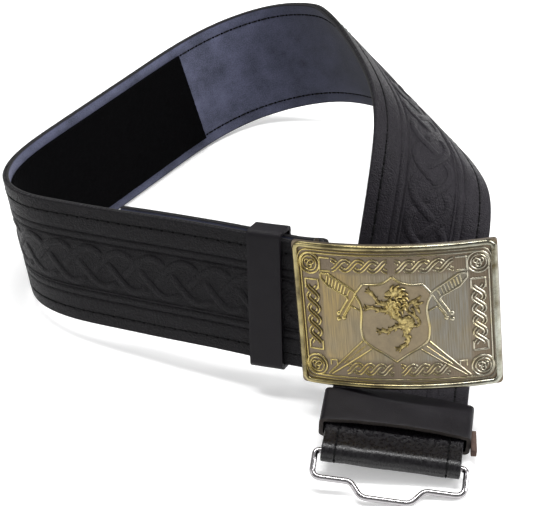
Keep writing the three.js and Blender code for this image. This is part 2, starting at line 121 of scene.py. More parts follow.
# each softbox: its name, place and size in metres, and power in watts
softboxes = (
    ("overhead", (0.05, 0.25, 1.2), (0.9, 0.2), 12.0),
    ("left", (-1.3, -0.2, 0.65), (0.8, 0.8), 4.0),
    ("right", (1.2, -0.1, 0.7), (0.5, 0.8), 14.0),
    ("back", (-0.2, 1.2, 0.9), (1.0, 0.4), 4.0),
    ("front_card", (-0.1, -1.5, 0.14), (2.2, 0.6), 3.0),
)
softbox_target = Vector((0.0, 0.0, 0.03))
for lamp_name, lamp_place, lamp_size, lamp_power in softboxes:
    lamp = bpy.data.lights.new(lamp_name, "AREA")
    lamp.shape = "RECTANGLE"
    lamp.size, lamp.size_y = lamp_size
    lamp.energy = lamp_power
    stand = bpy.data.objects.new(lamp_name, lamp)
    stand.location = lamp_place
    stand.rotation_euler = (Vector(lamp_place) - softbox_target).to_track_quat("Z", "Y").to_euler()
    bpy.context.scene.collection.objects.link(stand)

room_light = 0.32
room = bpy.data.worlds.new("room")
bpy.context.scene.world = room
room.use_nodes = True
room.node_tree.nodes["Background"].inputs["Color"].default_value = linear("ffffff")
room.node_tree.nodes["Background"].inputs["Strength"].default_value = room_light
bpy.context.scene.view_settings.view_transform = "Standard"

camera_place = Vector((0.03679, -0.59738, 0.51774))
camera_target = Vector((0.0089, -0.0265, 0.04))
camera_roll = math.radians(-5.49)
camera_lens = 114.5
camera_sight = (camera_target - camera_place).normalized()
camera_level = camera_sight.cross(Vector((0, 0, 1))).normalized()
camera_right = Matrix.Rotation(-camera_roll, 3, camera_sight) @ camera_level
camera_up = camera_right.cross(camera_sight)
camera_data = bpy.data.cameras.new("camera")
camera_data.sensor_width = 36
camera_data.sensor_fit = "HORIZONTAL"
camera_data.lens = camera_lens
camera = bpy.data.objects.new("camera", camera_data)
camera.matrix_world = (
    Matrix.Translation(camera_place)
    @ Matrix((camera_right, camera_up, -camera_sight)).transposed().to_4x4()
)
bpy.context.scene.collection.objects.link(camera)
bpy.context.scene.camera = camera


# Strap face
# The outer layer of vegetable-tanned leather, dyed black, pressed in a die and waxed. It is one flat strip,
# cut to width, folded round the buckle's bar and the hook wire, and it lies bent as the belt was put down.
# Lengths are millimetres; the bends are shares of the length from the buckle's bar to the hook wire.
strap_width = 57.0
waist_length = 660.0
face_in, face_out = 0.15, 1.65
lining_in = -1.25
tail_length = 95.0
end_tail_length = 34.0
pinch_length = 14.0
sag_end, sag_turn = 70.0, 3.0
turn_back, bar_turn = 16.0, -8.4
fit_gap = 0.3
bar_radius, wire_radius = 1.6, 1.25
# between the strap and its tail, where both halves of the tape lie pressed together
tail_gap = 2.3
# place, span, turn in degrees, slant of the fold lines in degrees
bends = (
    (0.104, 0.165, 3.0, 37.5),
    (0.243, 0.172, 107.0, 8.0),
    (0.498, 0.194, 64.5, 3.0),
    (0.566, 0.174, 46.5, -12.0),
    (0.661, 0.166, 17.0, -55.0),
    (0.775, 0.157, 76.5, -29.5),
    (0.853, 0.058, -64.5, 6.0),
)
front_place = Vector((-39.9, -16.1, 39.6))
front_heading, front_lean, front_tilt = -24.9, -17.0, -3.7
belt_shift = np.array((6.496, -23.869, 0.33))


def fold_round(rod_radius, leg_gap):
    """The fold's radius, the turn of the pinch beside it and its length."""
    radius = rod_radius + fit_gap - lining_in
    close = max(0.0, 2 * (rod_radius + fit_gap) - leg_gap)
    pinch = (math.hypot(pinch_length, 2 * math.sqrt(radius * close)) - pinch_length) / (2 * radius)
    return radius, pinch, (math.pi + 2 * pinch) * radius


bar_fold_radius, bar_pinch, bar_fold_length = fold_round(bar_radius, tail_gap)
wire_fold_radius, wire_pinch, wire_fold_length = fold_round(wire_radius, fit_gap)
tail_start = -bar_fold_length
end_tail_start = waist_length + wire_fold_length
strap_from = tail_start - tail_length
strap_to = end_tail_start + end_tail_length
waist_bends = [(at * waist_length, span * waist_length, math.radians(turn)) for at, span, turn, _ in bends]
pinches = (
    (pinch_length / 2, pinch_length, -bar_pinch),
    (tail_start - pinch_length / 2, pinch_length, -bar_pinch),
    (waist_length - pinch_length / 2, pinch_length, -wire_pinch),
    (end_tail_start + pinch_length / 2, pinch_length, -wire_pinch),
)
slants = [(0.0, 0.0)]
slants += [(at * waist_length, math.tan(math.radians(slant))) for at, _, _, slant in bends]
slants += [(waist_length - pinch_length, 0.0)]


def soft_curvature(rows, along):
    """The curvature of bends that swell and fade."""
    total = 0.0
    for at, span, turn in rows:
        share = (along - at) / span
        if abs(share) < 0.5:
            total += turn / span * (1 + math.cos(2 * math.pi * share))
    return total


def curvature(along):
    """The strap's curvature there: the tail bends the other way, as it lies back along the strap."""
    if along < tail_start:
        body = -soft_curvature(waist_bends, tail_start - along)
    else:
        body = soft_curvature(waist_bends, along)
    if tail_start < along < 0:
        body += 1 / bar_fold_radius
    if waist_length < along < end_tail_start:
        body += 1 / wire_fold_radius
    return body + soft_curvature(pinches, along)


def slope(along):
    """How far the fold line there runs along the strap for each millimetre across it."""
    if along < tail_start:
        return -slope(tail_start - along)
    for (before, low), (after, high) in zip(slants, slants[1:]):
        if before <= along <= after:
            share = (along - before) / (after - before)
            return low + (high - low) * share * share * (3 - 2 * share)
    return 0.0


def edgewise(along):
    """The turn within the strap's own surface, for each millimetre."""
    outer = along if along > 0 else tail_start - along
    if outer < 0 or outer > sag_end:
        return 0.0
    if outer < turn_back:
        return math.radians(bar_turn) / turn_back
    return math.radians(sag_turn) / (sag_end - turn_back)


def strap_step(place, size):
    """The strap's next place, a small step along it."""
    along, middle, ahead, across = place
    half = along + size / 2
    out = across.cross(ahead).normalized()
    spin = -curvature(half) * size * (across + slope(half) * ahead) + edgewise(half) * size * out
    axis = spin.normalized() if spin.length > 0 else out
    middle = middle + size * (Matrix.Rotation(spin.length / 2, 3, axis) @ ahead)
    turn = Matrix.Rotation(spin.length, 3, axis)
    return along + size, middle, turn @ ahead, turn @ across


walk_stops = (
    strap_from,
    tail_start - sag_end,
    tail_start - turn_back,
    tail_start - pinch_length,
    tail_start,
    0.0,
    pinch_length,
    turn_back,
    sag_end,
    waist_length - pinch_length,
    waist_length,
    end_tail_start,
    end_tail_start + pinch_length,
    strap_to,
)
walk_step = 0.5


def walk(start, end):
    """The strap's places from one place to an end, with a stop wherever a bend begins abruptly."""
    way = 1 if end > start[0] else -1
    ahead_stops = [stop for stop in walk_stops if (stop - start[0]) * way > 0 and (end - stop) * way >= 0]
    walked = [start]
    for stop in sorted(ahead_stops, key=lambda stop: stop * way):
        left = stop - walked[-1][0]
        count = math.ceil(abs(left) / walk_step)
        for _ in range(count):
            walked.append(strap_step(walked[-1], left / count))
        walked[-1] = (stop, *walked[-1][1:])
    return walked


front_turn = (
    Matrix.Rotation(math.radians(front_heading), 3, "Z")
    @ Matrix.Rotation(math.radians(front_lean), 3, "X")
    @ Matrix.Rotation(math.radians(front_tilt), 3, "Y")
)
walk_start = (sag_end, front_place, front_turn @ Vector((-1, 0, 0)), front_turn @ Vector((0, 0, 1)))
strap_places = walk(walk_start, strap_from)[::-1] + walk(walk_start, strap_to)[1:]
place_along = np.array([place[0] for place in strap_places])
place_middle = np.array([place[1] for place in strap_places])
place_ahead = np.array([place[2] for place in strap_places])
place_across = np.array([place[3] for place in strap_places])
place_out = np.cross(place_across, place_ahead)
place_slope = np.array([slope(along) for along in place_along])
place_slope_rate = np.gradient(place_slope, place_along)


# a flat point's fold line is found in rounds, and the lines bunch no closer than this share
laying_rounds = 30
least_spread = 0.4


def strap_value(values, along):
    """The strap's own vectors at any place along it."""
    return np.stack([np.interp(along, place_along, values[:, axis]) for axis in range(3)], axis=1)


def on_strap(points):
    """Flat points (along, across and out of the strap, in mm), laid as the strap lies, in metres."""
    along, side, out = points.T
    line = along.copy()
    for _ in range(laying_rounds):
        lean = np.interp(line, place_along, place_slope)
        rate = 1 + np.interp(line, place_along, place_slope_rate) * side
        line -= (line + lean * side - along) / np.maximum(rate, least_spread)
    lean = np.interp(line, place_along, place_slope)
    aside = strap_value(place_across, line) + lean[:, None] * strap_value(place_ahead, line)
    laid = strap_value(place_middle, line) + side[:, None] * aside
    laid = laid + out[:, None] * strap_value(place_out, line)
    return (laid + belt_shift) / 1000


# points closer than this, in mm, are one
same_place = 1e-4
# 1 unit of every flat map is 100 mm
flat_map_unit = 100
# edges that turn by more degrees than this stay sharp
sharp_angle = 40


def finished_piece(name, shape, lay, materials, body):
    """Makes the flat shape a piece of the object: keeps its flat place as a UV map and its height as an
    attribute, lays it in place, turns its faces outward, and lets it ride on its body."""
    bmesh.ops.remove_doubles(shape, verts=shape.verts, dist=same_place)
    open_edges = [edge for edge in shape.edges if edge.is_boundary]
    if open_edges:
        bmesh.ops.holes_fill(shape, edges=open_edges, sides=0)
    flat_map = shape.loops.layers.uv.new("flat")
    rise = shape.verts.layers.float.new("rise")
    for face in shape.faces:
        for loop in face.loops:
            loop[flat_map].uv = loop.vert.co.xy / flat_map_unit
    shape.verts.ensure_lookup_table()
    for vert in shape.verts:
        vert[rise] = vert.co.z
    laid = lay(np.array([vert.co for vert in shape.verts], dtype=float))
    for vert, point in zip(shape.verts, laid):
        vert.co = point
    bmesh.ops.recalc_face_normals(shape, faces=shape.faces)
    mesh = bpy.data.meshes.new(name)
    shape.to_mesh(mesh)
    shape.free()
    for material in materials:
        mesh.materials.append(material)
    mesh.shade_smooth()
    mesh.set_sharp_from_angle(angle=math.radians(sharp_angle))
    piece = bpy.data.objects.new(name, mesh)
    bpy.context.scene.collection.objects.link(piece)
    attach(piece, body)
    return piece


fold_row_spacing = 0.5
fold_row_margin = 3


def strap_rows(start, end, spacing):
    """Places along the strap, closer together round the two folds."""
    rows = [start]
    while rows[-1] < end:
        at_bar = tail_start - fold_row_margin < rows[-1] < fold_row_margin
        at_wire = waist_length - fold_row_margin < rows[-1] < end_tail_start + fold_row_margin
        rows.append(min(end, rows[-1] + (fold_row_spacing if at_bar or at_wire else spacing)))
    return rows


def both_sides(columns):
    """Columns across the strap from those of one half."""
    return [-column for column in reversed(columns) if column > 0] + list(columns)


def flat_layer(rows, columns, height, back):
    """A closed flat layer: a grid with its own height at each point, its side walls and a plain back."""
    shape = bmesh.new()
    bmesh.ops.create_grid(shape, x_segments=len(rows) - 1, y_segments=len(columns) - 1, size=1)
    for vert in shape.verts:
        along = rows[round((vert.co.x + 1) / 2 * (len(rows) - 1))]
        side = columns[round((vert.co.y + 1) / 2 * (len(columns) - 1))]
        vert.co = (along, side, height(along, side))
    walls = bmesh.ops.extrude_face_region(shape, geom=shape.faces[:])
    for element in walls["geom"]:
        if isinstance(element, bmesh.types.BMVert):
            element.co.z = back
    return shape


stitch_line = 22.8
groove_lines = (12.2, 15.6)
groove_half_width, groove_depth = 0.85, 0.5
band_half_width, band_depth = 11.3, 0.45
band_wall = 0.5
stitch_sink, stitch_sink_reach = 0.22, 1.0
edge_round, edge_drop = 0.7, 0.6
pattern_end, pattern_fade = waist_length - 18, 4.0
# the hide's swells and finer ripples: lengths along and across the strap, and their heights
hide_swell, hide_swell_height = (21, 13), 0.16
hide_ripple, hide_ripple_height = (6, 5), 0.05
# creases across the fold round the hook wire
crease_size, crease_height, crease_margin = (2.5, 8), 0.2, 1
face_row_spacing = 1.9


def swell(distance, reach):
    """A soft bump that is 1 in its middle and 0 from its reach on."""
    share = abs(distance) / reach
    return (1 + math.cos(math.pi * share)) / 2 if share < 1 else 0.0


def leather_unevenness(along, side):
    """The hide's own unevenness, in millimetres."""
    broad = noise.noise(Vector((along / hide_swell[0], side / hide_swell[1], 3.0)))
    fine = noise.noise(Vector((along / hide_ripple[0], side / hide_ripple[1], 9.0)))
    return hide_swell_height * broad + hide_ripple_height * fine


def face_height(along, side):
    """The pressed face: rounded edges, a sunk line for the stitches, pairs of grooves and a sunk band. The
    die stops short of the hook's end, so the fold there is plain and creased."""
    height = face_out + leather_unevenness(along, side)
    height -= stitch_sink * swell(abs(side) - stitch_line, stitch_sink_reach)
    pressed = min(1.0, max(0.0, (pattern_end - along) / pattern_fade))
    for line in groove_lines:
        height -= pressed * groove_depth * swell(abs(side) - line, groove_half_width)
    height -= pressed * band_depth * min(1.0, max(0.0, (band_half_width - abs(side)) / band_wall))
    if waist_length - crease_margin < along < end_tail_start + crease_margin:
        crease = noise.noise(Vector((along / crease_size[0], side / crease_size[1], 5.0)))
        height += crease_height * crease
    from_edge = strap_width / 2 - abs(side)
    if from_edge < edge_round:
        height -= edge_drop * (1 - math.sqrt(max(0.0, 1 - (1 - from_edge / edge_round) ** 2)))
    return height


# columns of the face's grid, from the middle: closer together at the band's edge, the grooves, the stitches
# and the rounded edge
band_columns = (0, 3, 6, 9, 10.8, 11.3)
groove_columns = (11.75, 12.2, 12.65, 13.1, 14.7, 15.15, 15.6, 16.05, 16.5)
edge_columns = (18.6, 21.0, 21.8, 22.3, 22.8, 23.3, 23.8, 25.6, 27.5, 27.8, 28.1, 28.35, 28.5)
face_columns = both_sides(band_columns + groove_columns + edge_columns)

# Black waxed leather: a near-black with a cast of violet, a dull, broken gloss and a grain of about 0.7 mm.
leather = new_material("pressed_black_leather")
leather_flat = add_node(leather, "ShaderNodeUVMap", {"uv_map": "flat"}, {})
leather_clouds = add_node(
    leather,
    "ShaderNodeTexNoise",
    {"Scale": 14.0, "Detail": 6.0, "Roughness": 0.6},
    {"Vector": leather_flat.outputs[0]},
)
# a grain of 0.7 mm is 150 cells to the flat map's unit
leather_grain = add_node(
    leather,
    "ShaderNodeTexVoronoi",
    {"Scale": 150.0, "Randomness": 1.0},
    {"Vector": leather_flat.outputs[0]},
)
leather_colour = add_node(
    leather,
    "ShaderNodeMix",
    {"data_type": "RGBA", 6: linear("080709"), 7: linear("161418")},
    {0: leather_clouds.outputs["Fac"]},
)
# painted light: past its far bend, from 400 to 520 mm along, the strap's colour is painted a little greyer
# and lighter, standing in for the light that part catches
leather_place = add_node(leather, "ShaderNodeSeparateXYZ", {}, {0: leather_flat.outputs[0]})
leather_far_painted_light = add_node(
    leather,
    "ShaderNodeMapRange",
    {"From Min": 4.0, "From Max": 5.2},
    {"Value": leather_place.outputs["X"]},
)
# painted light: the lighter, greyer leather colour that the far part of the strap is mixed towards
leather_painted_lighter = add_node(
    leather,
    "ShaderNodeMix",
    {"data_type": "RGBA", 6: linear("18161a"), 7: linear("2b282e")},
    {0: leather_clouds.outputs["Fac"]},
)
leather_whole = add_node(
    leather,
    "ShaderNodeMix",
    {"data_type": "RGBA"},
    {0: leather_far_painted_light.outputs["Result"], 6: leather_colour.outputs[2], 7: leather_painted_lighter.outputs[2]},
)
leather_mottle = add_node(
    leather,
    "ShaderNodeTexNoise",
    {"Scale": 75.0, "Detail": 5.0, "Roughness": 0.7},
    {"Vector": leather_flat.outputs[0]},
)
leather_roughness = add_node(
    leather,
    "ShaderNodeMapRange",
    {"From Min": 0.35, "From Max": 0.65, "To Min": 0.3, "To Max": 0.6},
    {"Value": leather_mottle.outputs["Fac"]},
)
leather_relief = add_node(
    leather,
    "ShaderNodeMath",
    {"operation": "MULTIPLY_ADD", 1: 1.5},
    {0: leather_mottle.outputs["Fac"], 2: leather_grain.outputs["Distance"]},
)
leather_bump = add_node(
    leather, "ShaderNodeBump", {"Strength": 0.7, "Distance": 0.0004}, {"Height": leather_relief.outputs[0]}
)
finish_material(
    leather,
    add_node(
        leather,
        "ShaderNodeBsdfPrincipled",
        {"IOR": 1.5, "Specular IOR Level": 0.15},
        {
            "Base Color": leather_whole.outputs[2],
            "Roughness": leather_roughness.outputs["Result"],
            "Normal": leather_bump.outputs["Normal"],
        },
    ),
)

# Round the hook wire the leather is plain, bent often, and rubbed to a shine that the creases break up.
rubbed = new_material("rubbed_black_leather")
rubbed_flat = add_node(rubbed, "ShaderNodeUVMap", {"uv_map": "flat"}, {})
rubbed_creases = add_node(
    rubbed,
    "ShaderNodeTexNoise",
    {"Scale": 55.0, "Detail": 6.0, "Roughness": 0.75},
    {"Vector": rubbed_flat.outputs[0]},
)
rubbed_colour = add_node(
    rubbed,
    "ShaderNodeMix",
    {"data_type": "RGBA", 6: linear("070608"), 7: linear("151317")},
    {0: rubbed_creases.outputs["Fac"]},
)
rubbed_roughness = add_node(
    rubbed,
    "ShaderNodeMapRange",
    {"From Min": 0.38, "From Max": 0.62, "To Min": 0.13, "To Max": 0.45},
    {"Value": rubbed_creases.outputs["Fac"]},
)
rubbed_bump = add_node(
    rubbed,
    "ShaderNodeBump",
    {"Strength": 0.5, "Distance": 0.0004},
    {"Height": rubbed_creases.outputs["Fac"]},
)
finish_material(
    rubbed,
    add_node(
        rubbed,
        "ShaderNodeBsdfPrincipled",
        {"IOR": 1.5, "Specular IOR Level": 0.4},
        {
            "Base Color": rubbed_colour.outputs[2],
            "Roughness": rubbed_roughness.outputs["Result"],
            "Normal": rubbed_bump.outputs["Normal"],
        },
    ),
)

face_rows = strap_rows(strap_from, strap_to, face_row_spacing)
strap_sheet = flat_layer(face_rows, face_columns, face_height, face_in)
for face in strap_sheet.faces:
    if face.calc_center_median().x > pattern_end:
        face.material_index = 1
strap_face = finished_piece(
    "strap_outer_leather", strap_sheet, on_strap, [leather, rubbed], "strap"
)
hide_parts("strap_face")


# Pressed knotwork
# Three strands interlace along the middle of the strap, raised by the same die as the grooves. Each goes
# over the next one and under the one after it, and sinks into the ground where it passes under.
knot_swing = 8.7
knot_repeat = 47.0
knot_half_width = 1.95
knot_top = face_out + 0.12
knot_foot = face_out - 0.9
knot_dip, knot_dip_length = 0.75, 2.2
knot_spacing = 0.95
knot_from, knot_to = strap_from + 5, pattern_end - 2
knot_strands = 3
# where in its wave a strand passes under the two others
knot_crossings = (-math.pi / 3, 2 * math.pi / 3)


def add_strand(shape, line, half_width, low, top, closed=False, arc=6, fullness=0.75):
    """A raised strand along a flat line: a grid wrapped round the strand's section. Its fullness is low for
    a blunt strand and over 1 for one that rises from a spread foot."""
    line = np.array(line, dtype=float)
    if closed:
        ahead = np.roll(line, -1, axis=0) - np.roll(line, 1, axis=0)
        line = np.vstack([line, line[:1]])
        ahead = np.vstack([ahead, ahead[:1]])
    else:
        ahead = np.gradient(line, axis=0)
    aside = np.stack([-ahead[:, 1], ahead[:, 0]], axis=1)
    aside /= np.linalg.norm(aside, axis=1, keepdims=True)
    half_widths = np.broadcast_to(half_width, len(line))
    tops = np.broadcast_to(top, len(line))
    made = bmesh.ops.create_grid(shape, x_segments=arc + 1, y_segments=len(line) - 1, size=1)
    for vert in made["verts"]:
        row = round((vert.co.y + 1) / 2 * (len(line) - 1))
        column = round((vert.co.x + 1) / 2 * (arc + 1)) % (arc + 1)
        turn = math.pi * column / arc
        off = half_widths[row] * math.cos(turn)
        height = low + (tops[row] - low) * math.sin(turn) ** fullness
        vert.co = (line[row, 0] + aside[row, 0] * off, line[row, 1] + aside[row, 1] * off, height)


knots = bmesh.new()
knot_rows = np.arange(knot_from, knot_to, knot_spacing)
for strand in range(knot_strands):
    phase = 2 * math.pi * (knot_rows / knot_repeat + strand / knot_strands)
    tops = np.full(len(knot_rows), knot_top)
    for crossing in knot_crossings:
        off = (phase - crossing + math.pi) % (2 * math.pi) - math.pi
        tops -= knot_dip * np.exp(-((off * knot_repeat / (2 * math.pi) / knot_dip_length) ** 4))
    knot_line = np.stack([knot_rows, knot_swing * np.cos(phase)], axis=1)
    add_strand(knots, knot_line, knot_half_width, knot_foot, tops)
finished_piece("pressed_knotwork", knots, on_strap, [leather], "strap")


# Stitches of the strap
# Waxed black nylon thread, sewn by machine about 5 mm to the stitch along both edges, through face and
# lining. Each stitch is drawn tight into its line, with an awl hole at each end.
stitch_pitch = 5.2
stitch_margin = 4
stitch_count = int((strap_to - strap_from - 2 * stitch_margin) / stitch_pitch)
# half lengths, half widths and half heights
stitch_half_sizes = (1.95, 0.42, 0.34)
hole_half_sizes = (0.75, 0.5, 0.16)
thread_sink, hole_sink_share = 0.12, 1.2


def bead_row(place, half_sizes, count, pitch):
    """A row of small rounded bodies along the strap: one is made, and doubled until the row is long."""
    row = bmesh.new()
    matrix = Matrix.Translation(place) @ Matrix.Diagonal((*half_sizes, 1.0))
    bmesh.ops.create_uvsphere(row, u_segments=8, v_segments=6, radius=1.0, matrix=matrix)
    each = (len(row.verts), len(row.edges), len(row.faces))
    made = 1
    while made < count:
        more = min(made, count - made)
        part = row.verts[: more * each[0]] + row.edges[: more * each[1]] + row.faces[: more * each[2]]
        copied = bmesh.ops.duplicate(row, geom=part)["geom"]
        moved = [element for element in copied if isinstance(element, bmesh.types.BMVert)]
        bmesh.ops.translate(row, verts=moved, vec=(made * pitch, 0, 0))
        made += more
    return row


def add_shape(shape, other):
    """Adds another flat shape to a shape."""
    passing = bpy.data.meshes.new("passing")
    other.to_mesh(passing)
    other.free()
    shape.from_mesh(passing)
    bpy.data.meshes.remove(passing)


# Waxed nylon thread: black, duller than the leather, with the twist of its three plies.
thread = new_material("waxed_black_thread")
thread_flat = add_node(thread, "ShaderNodeUVMap", {"uv_map": "flat"}, {})
thread_turned = add_node(
    thread,
    "ShaderNodeMapping",
    {"Rotation": (0.0, 0.0, math.radians(40))},
    {"Vector": thread_flat.outputs[0]},
)
# a ply shows every 0.8 mm
thread_ply = add_node(thread, "ShaderNodeTexWave", {"Scale": 40.0}, {"Vector": thread_turned.outputs[0]})
thread_bump = add_node(
    thread, "ShaderNodeBump", {"Strength": 0.5, "Distance": 0.0002}, {"Height": thread_ply.outputs["Fac"]}
)
finish_material(
    thread,
    add_node(
        thread,
        "ShaderNodeBsdfPrincipled",
        {"Base Color": linear("0a0a0b"), "Roughness": 0.65, "Specular IOR Level": 0.12},
        {"Normal": thread_bump.outputs["Normal"]},
    ),
)

# The awl holes: bare cut fibres in shadow, so matt and close to black.
hole = new_material("awl_hole")
hole_place = add_node(hole, "ShaderNodeTexCoord", {}, {})
hole_fibre = add_node(
    hole,
    "ShaderNodeTexNoise",
    {"Scale": 3000.0},
    {"Vector": hole_place.outputs["Object"]},
)
hole_bump = add_node(
    hole, "ShaderNodeBump", {"Strength": 0.4, "Distance": 0.0002}, {"Height": hole_fibre.outputs["Fac"]}
)
finish_material(
    hole,
    add_node(
        hole,
        "ShaderNodeBsdfPrincipled",
        {"Base Color": linear("060607"), "Roughness": 1.0, "Specular IOR Level": 0.1},
        {"Normal": hole_bump.outputs["Normal"]},
    ),
)

for surface_name, surface, sink in (("outer", face_out, -thread_sink), ("inner", lining_in, thread_sink)):
    stitches = bmesh.new()
    holes = bmesh.new()
    for line in (stitch_line, -stitch_line):
        first = (strap_from + stitch_margin, line, surface + sink)
        add_shape(stitches, bead_row(first, stitch_half_sizes, stitch_count, stitch_pitch))
        first = (strap_from + stitch_margin + stitch_pitch / 2, line, surface + hole_sink_share * sink)
        add_shape(holes, bead_row(first, hole_half_sizes, stitch_count - 1, stitch_pitch))
    finished_piece(f"{surface_name}_stitches", stitches, on_strap, [thread], "strap")
    finished_piece(f"{surface_name}_awl_holes", holes, on_strap, [hole], "strap")


# Lining
# Split leather, dyed blue-grey and left rough, glued and sewn behind the face and cut with it. Its flesh
# side is napped and a little blotchy, and it is drawn in along the stitches.
# the lining is a little evener than the face, and cut from another part of the hide
lining_unevenness = 0.8
lining_hide = 400
lining_draw, lining_draw_reach = 0.3, 1.3
lining_edge_drop = 0.4
lining_row_spacing = 2.2


def lining_height(along, side):
    """The lining's inner side, rough and drawn in at the stitches."""
    height = lining_in - lining_unevenness * leather_unevenness(along + lining_hide, side)
    height += lining_draw * swell(abs(side) - stitch_line, lining_draw_reach)
    from_edge = strap_width / 2 - abs(side)
    if from_edge < edge_round:
        height += lining_edge_drop * (1 - math.sqrt(max(0.0, 1 - (1 - from_edge / edge_round) ** 2)))
    return height


lining_columns = both_sides(
    (0, 4, 8, 12, 16, 19, 21.4, 22.1, 22.8, 23.5, 24.2, 26, 27.7, 28.1, 28.35, 28.5)
)

# Napped split leather: matt, blue-grey, blotched over centimetres and fibrous over tenths of a millimetre.
lining = new_material("napped_blue_grey_split_leather")
lining_flat = add_node(lining, "ShaderNodeUVMap", {"uv_map": "flat"}, {})
lining_blotch = add_node(
    lining,
    "ShaderNodeTexNoise",
    {"Scale": 7.0, "Detail": 8.0, "Roughness": 0.65},
    {"Vector": lining_flat.outputs[0]},
)
lining_nap = add_node(
    lining,
    "ShaderNodeTexNoise",
    {"Scale": 160.0, "Detail": 6.0, "Roughness": 0.7},
    {"Vector": lining_flat.outputs[0]},
)
lining_mixture = add_node(
    lining,
    "ShaderNodeMath",
    {"operation": "MULTIPLY_ADD", 1: 1.0},
    {0: lining_nap.outputs["Fac"], 2: lining_blotch.outputs["Fac"]},
)
lining_share = add_node(
    lining,
    "ShaderNodeMapRange",
    {"From Min": 0.76, "From Max": 1.2},
    {"Value": lining_mixture.outputs[0]},
)
lining_colour = add_node(
    lining,
    "ShaderNodeMix",
    {"data_type": "RGBA", 6: linear("343746"), 7: linear("60637c")},
    {0: lining_share.outputs["Result"]},
)
lining_place = add_node(lining, "ShaderNodeSeparateXYZ", {}, {0: lining_flat.outputs[0]})
# painted shade: the lining's colour is painted darker towards the hook's end, from 320 to 410 mm along the
# strap, for the shade that falls there
lining_far_painted_shade = add_node(
    lining,
    "ShaderNodeMapRange",
    {"From Min": 3.2, "From Max": 4.1},
    {"Value": lining_place.outputs["X"]},
)
# painted shade: the dark blue-grey that the far lining is mixed towards
lining_painted_shade = add_node(
    lining,
    "ShaderNodeMix",
    {"data_type": "RGBA", 7: linear("26272f")},
    {0: lining_far_painted_shade.outputs["Result"], 6: lining_colour.outputs[2]},
)
lining_from_middle = add_node(
    lining,
    "ShaderNodeMath",
    {"operation": "ABSOLUTE"},
    {0: lining_place.outputs["Y"]},
)
# the dye of the edge creeps in over the last 0.9 mm of the 28.5 mm half width
lining_edge = add_node(
    lining,
    "ShaderNodeMapRange",
    {"From Min": 0.276, "From Max": 0.2825},
    {"Value": lining_from_middle.outputs[0]},
)
lining_dyed = add_node(
    lining,
    "ShaderNodeMix",
    {"data_type": "RGBA", 7: linear("0f0e11")},
    {0: lining_edge.outputs["Result"], 6: lining_painted_shade.outputs[2]},
)
lining_bump = add_node(
    lining, "ShaderNodeBump", {"Strength": 0.6, "Distance": 0.0005}, {"Height": lining_nap.outputs["Fac"]}
)
finish_material(
    lining,
    add_node(
        lining,
        "ShaderNodeBsdfPrincipled",
        {"Roughness": 0.95, "Specular IOR Level": 0.2, "Sheen Weight": 0.1, "Sheen Roughness": 0.6},
        {"Base Color": lining_dyed.outputs[2], "Normal": lining_bump.outputs["Normal"]},
    ),
)

lining_rows = strap_rows(strap_from, strap_to, lining_row_spacing)
lining_sheet = flat_layer(lining_rows, lining_columns, lining_height, -face_in)
strap_lining = finished_piece(
    "strap_split_leather_lining", lining_sheet, on_strap, [lining], "strap"
)
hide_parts("strap_lining")


# Loop tape
# The soft half of a hook-and-loop fastening: a woven black tape with a napped pile of nylon loops, sewn
# inside the strap from the buckle's end. Its end is cut straight and frays a little.
tape_width = 47.0
tape_thickness = 1.2
tape_end = 294.0
tape_top = lining_in - fit_gap
tape_row_spacing, tape_column_count = 1.0, 48
# the pile's tangles and wider clumps
tangle_length, clump_length = 1.6, 5
clump_share = 0.6
pile_raggedness = 0.22


def tape_height(along, side):
    """The pile's ragged surface."""
    tangle = noise.noise(Vector((along / tangle_length, side / tangle_length, 0.0)))
    clump = noise.noise(Vector((along / clump_length, side / clump_length, 4.0)))
    return tape_top - tape_thickness - pile_raggedness * (tangle + clump_share * clump)


tape_columns = [
    step * tape_width / tape_column_count - tape_width / 2 for step in range(tape_column_count + 1)
]

# Nylon loop pile: black, matt, with loops tangled about every half millimetre and grey where their tips
# catch light.
pile = new_material("black_nylon_loop_pile")
pile_flat = add_node(pile, "ShaderNodeUVMap", {"uv_map": "flat"}, {})
pile_loops = add_node(
    pile,
    "ShaderNodeTexNoise",
    {"Scale": 190.0, "Detail": 5.0, "Distortion": 1.5},
    {"Vector": pile_flat.outputs[0]},
)
pile_tips = add_node(
    pile,
    "ShaderNodeMapRange",
    {"From Min": 0.55, "From Max": 0.8},
    {"Value": pile_loops.outputs["Fac"]},
)
pile_colour = add_node(
    pile,
    "ShaderNodeMix",
    {"data_type": "RGBA", 6: linear("040405"), 7: linear("111113")},
    {0: pile_tips.outputs["Result"]},
)
pile_bump = add_node(
    pile, "ShaderNodeBump", {"Strength": 0.9, "Distance": 0.0008}, {"Height": pile_loops.outputs["Fac"]}
)
finish_material(
    pile,
    add_node(
        pile,
        "ShaderNodeBsdfPrincipled",
        {"Roughness": 1.0, "Specular IOR Level": 0.05},
        {"Base Color": pile_colour.outputs[2], "Normal": pile_bump.outputs["Normal"]},
    ),
)

tape_rows = strap_rows(pinch_length, tape_end, tape_row_spacing)
tape_sheet = flat_layer(tape_rows, tape_columns, tape_height, tape_top)
tape = finished_piece("loop_pile_tape", tape_sheet, on_strap, [pile], "strap")
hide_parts("loop_tape")


# Keepers
# Plain bands of the same black leather, each cut from a strip, skived at its ends and closed into a ring
# that slides on the strap. The buckle's end has a narrow one, a little askew; the hook's end has a wide one
# that bulges.
keeper_thickness = 1.8
keeper_slack = 1.1
keeper_ease = 0.6
keeper_corner = keeper_thickness + 1
keeper_point_spacing, keeper_columns = 2.0, 10
keeper_edge_round = 0.4
keeper_wave, keeper_wave_length, keeper_wave_width = 0.12, 7, 6
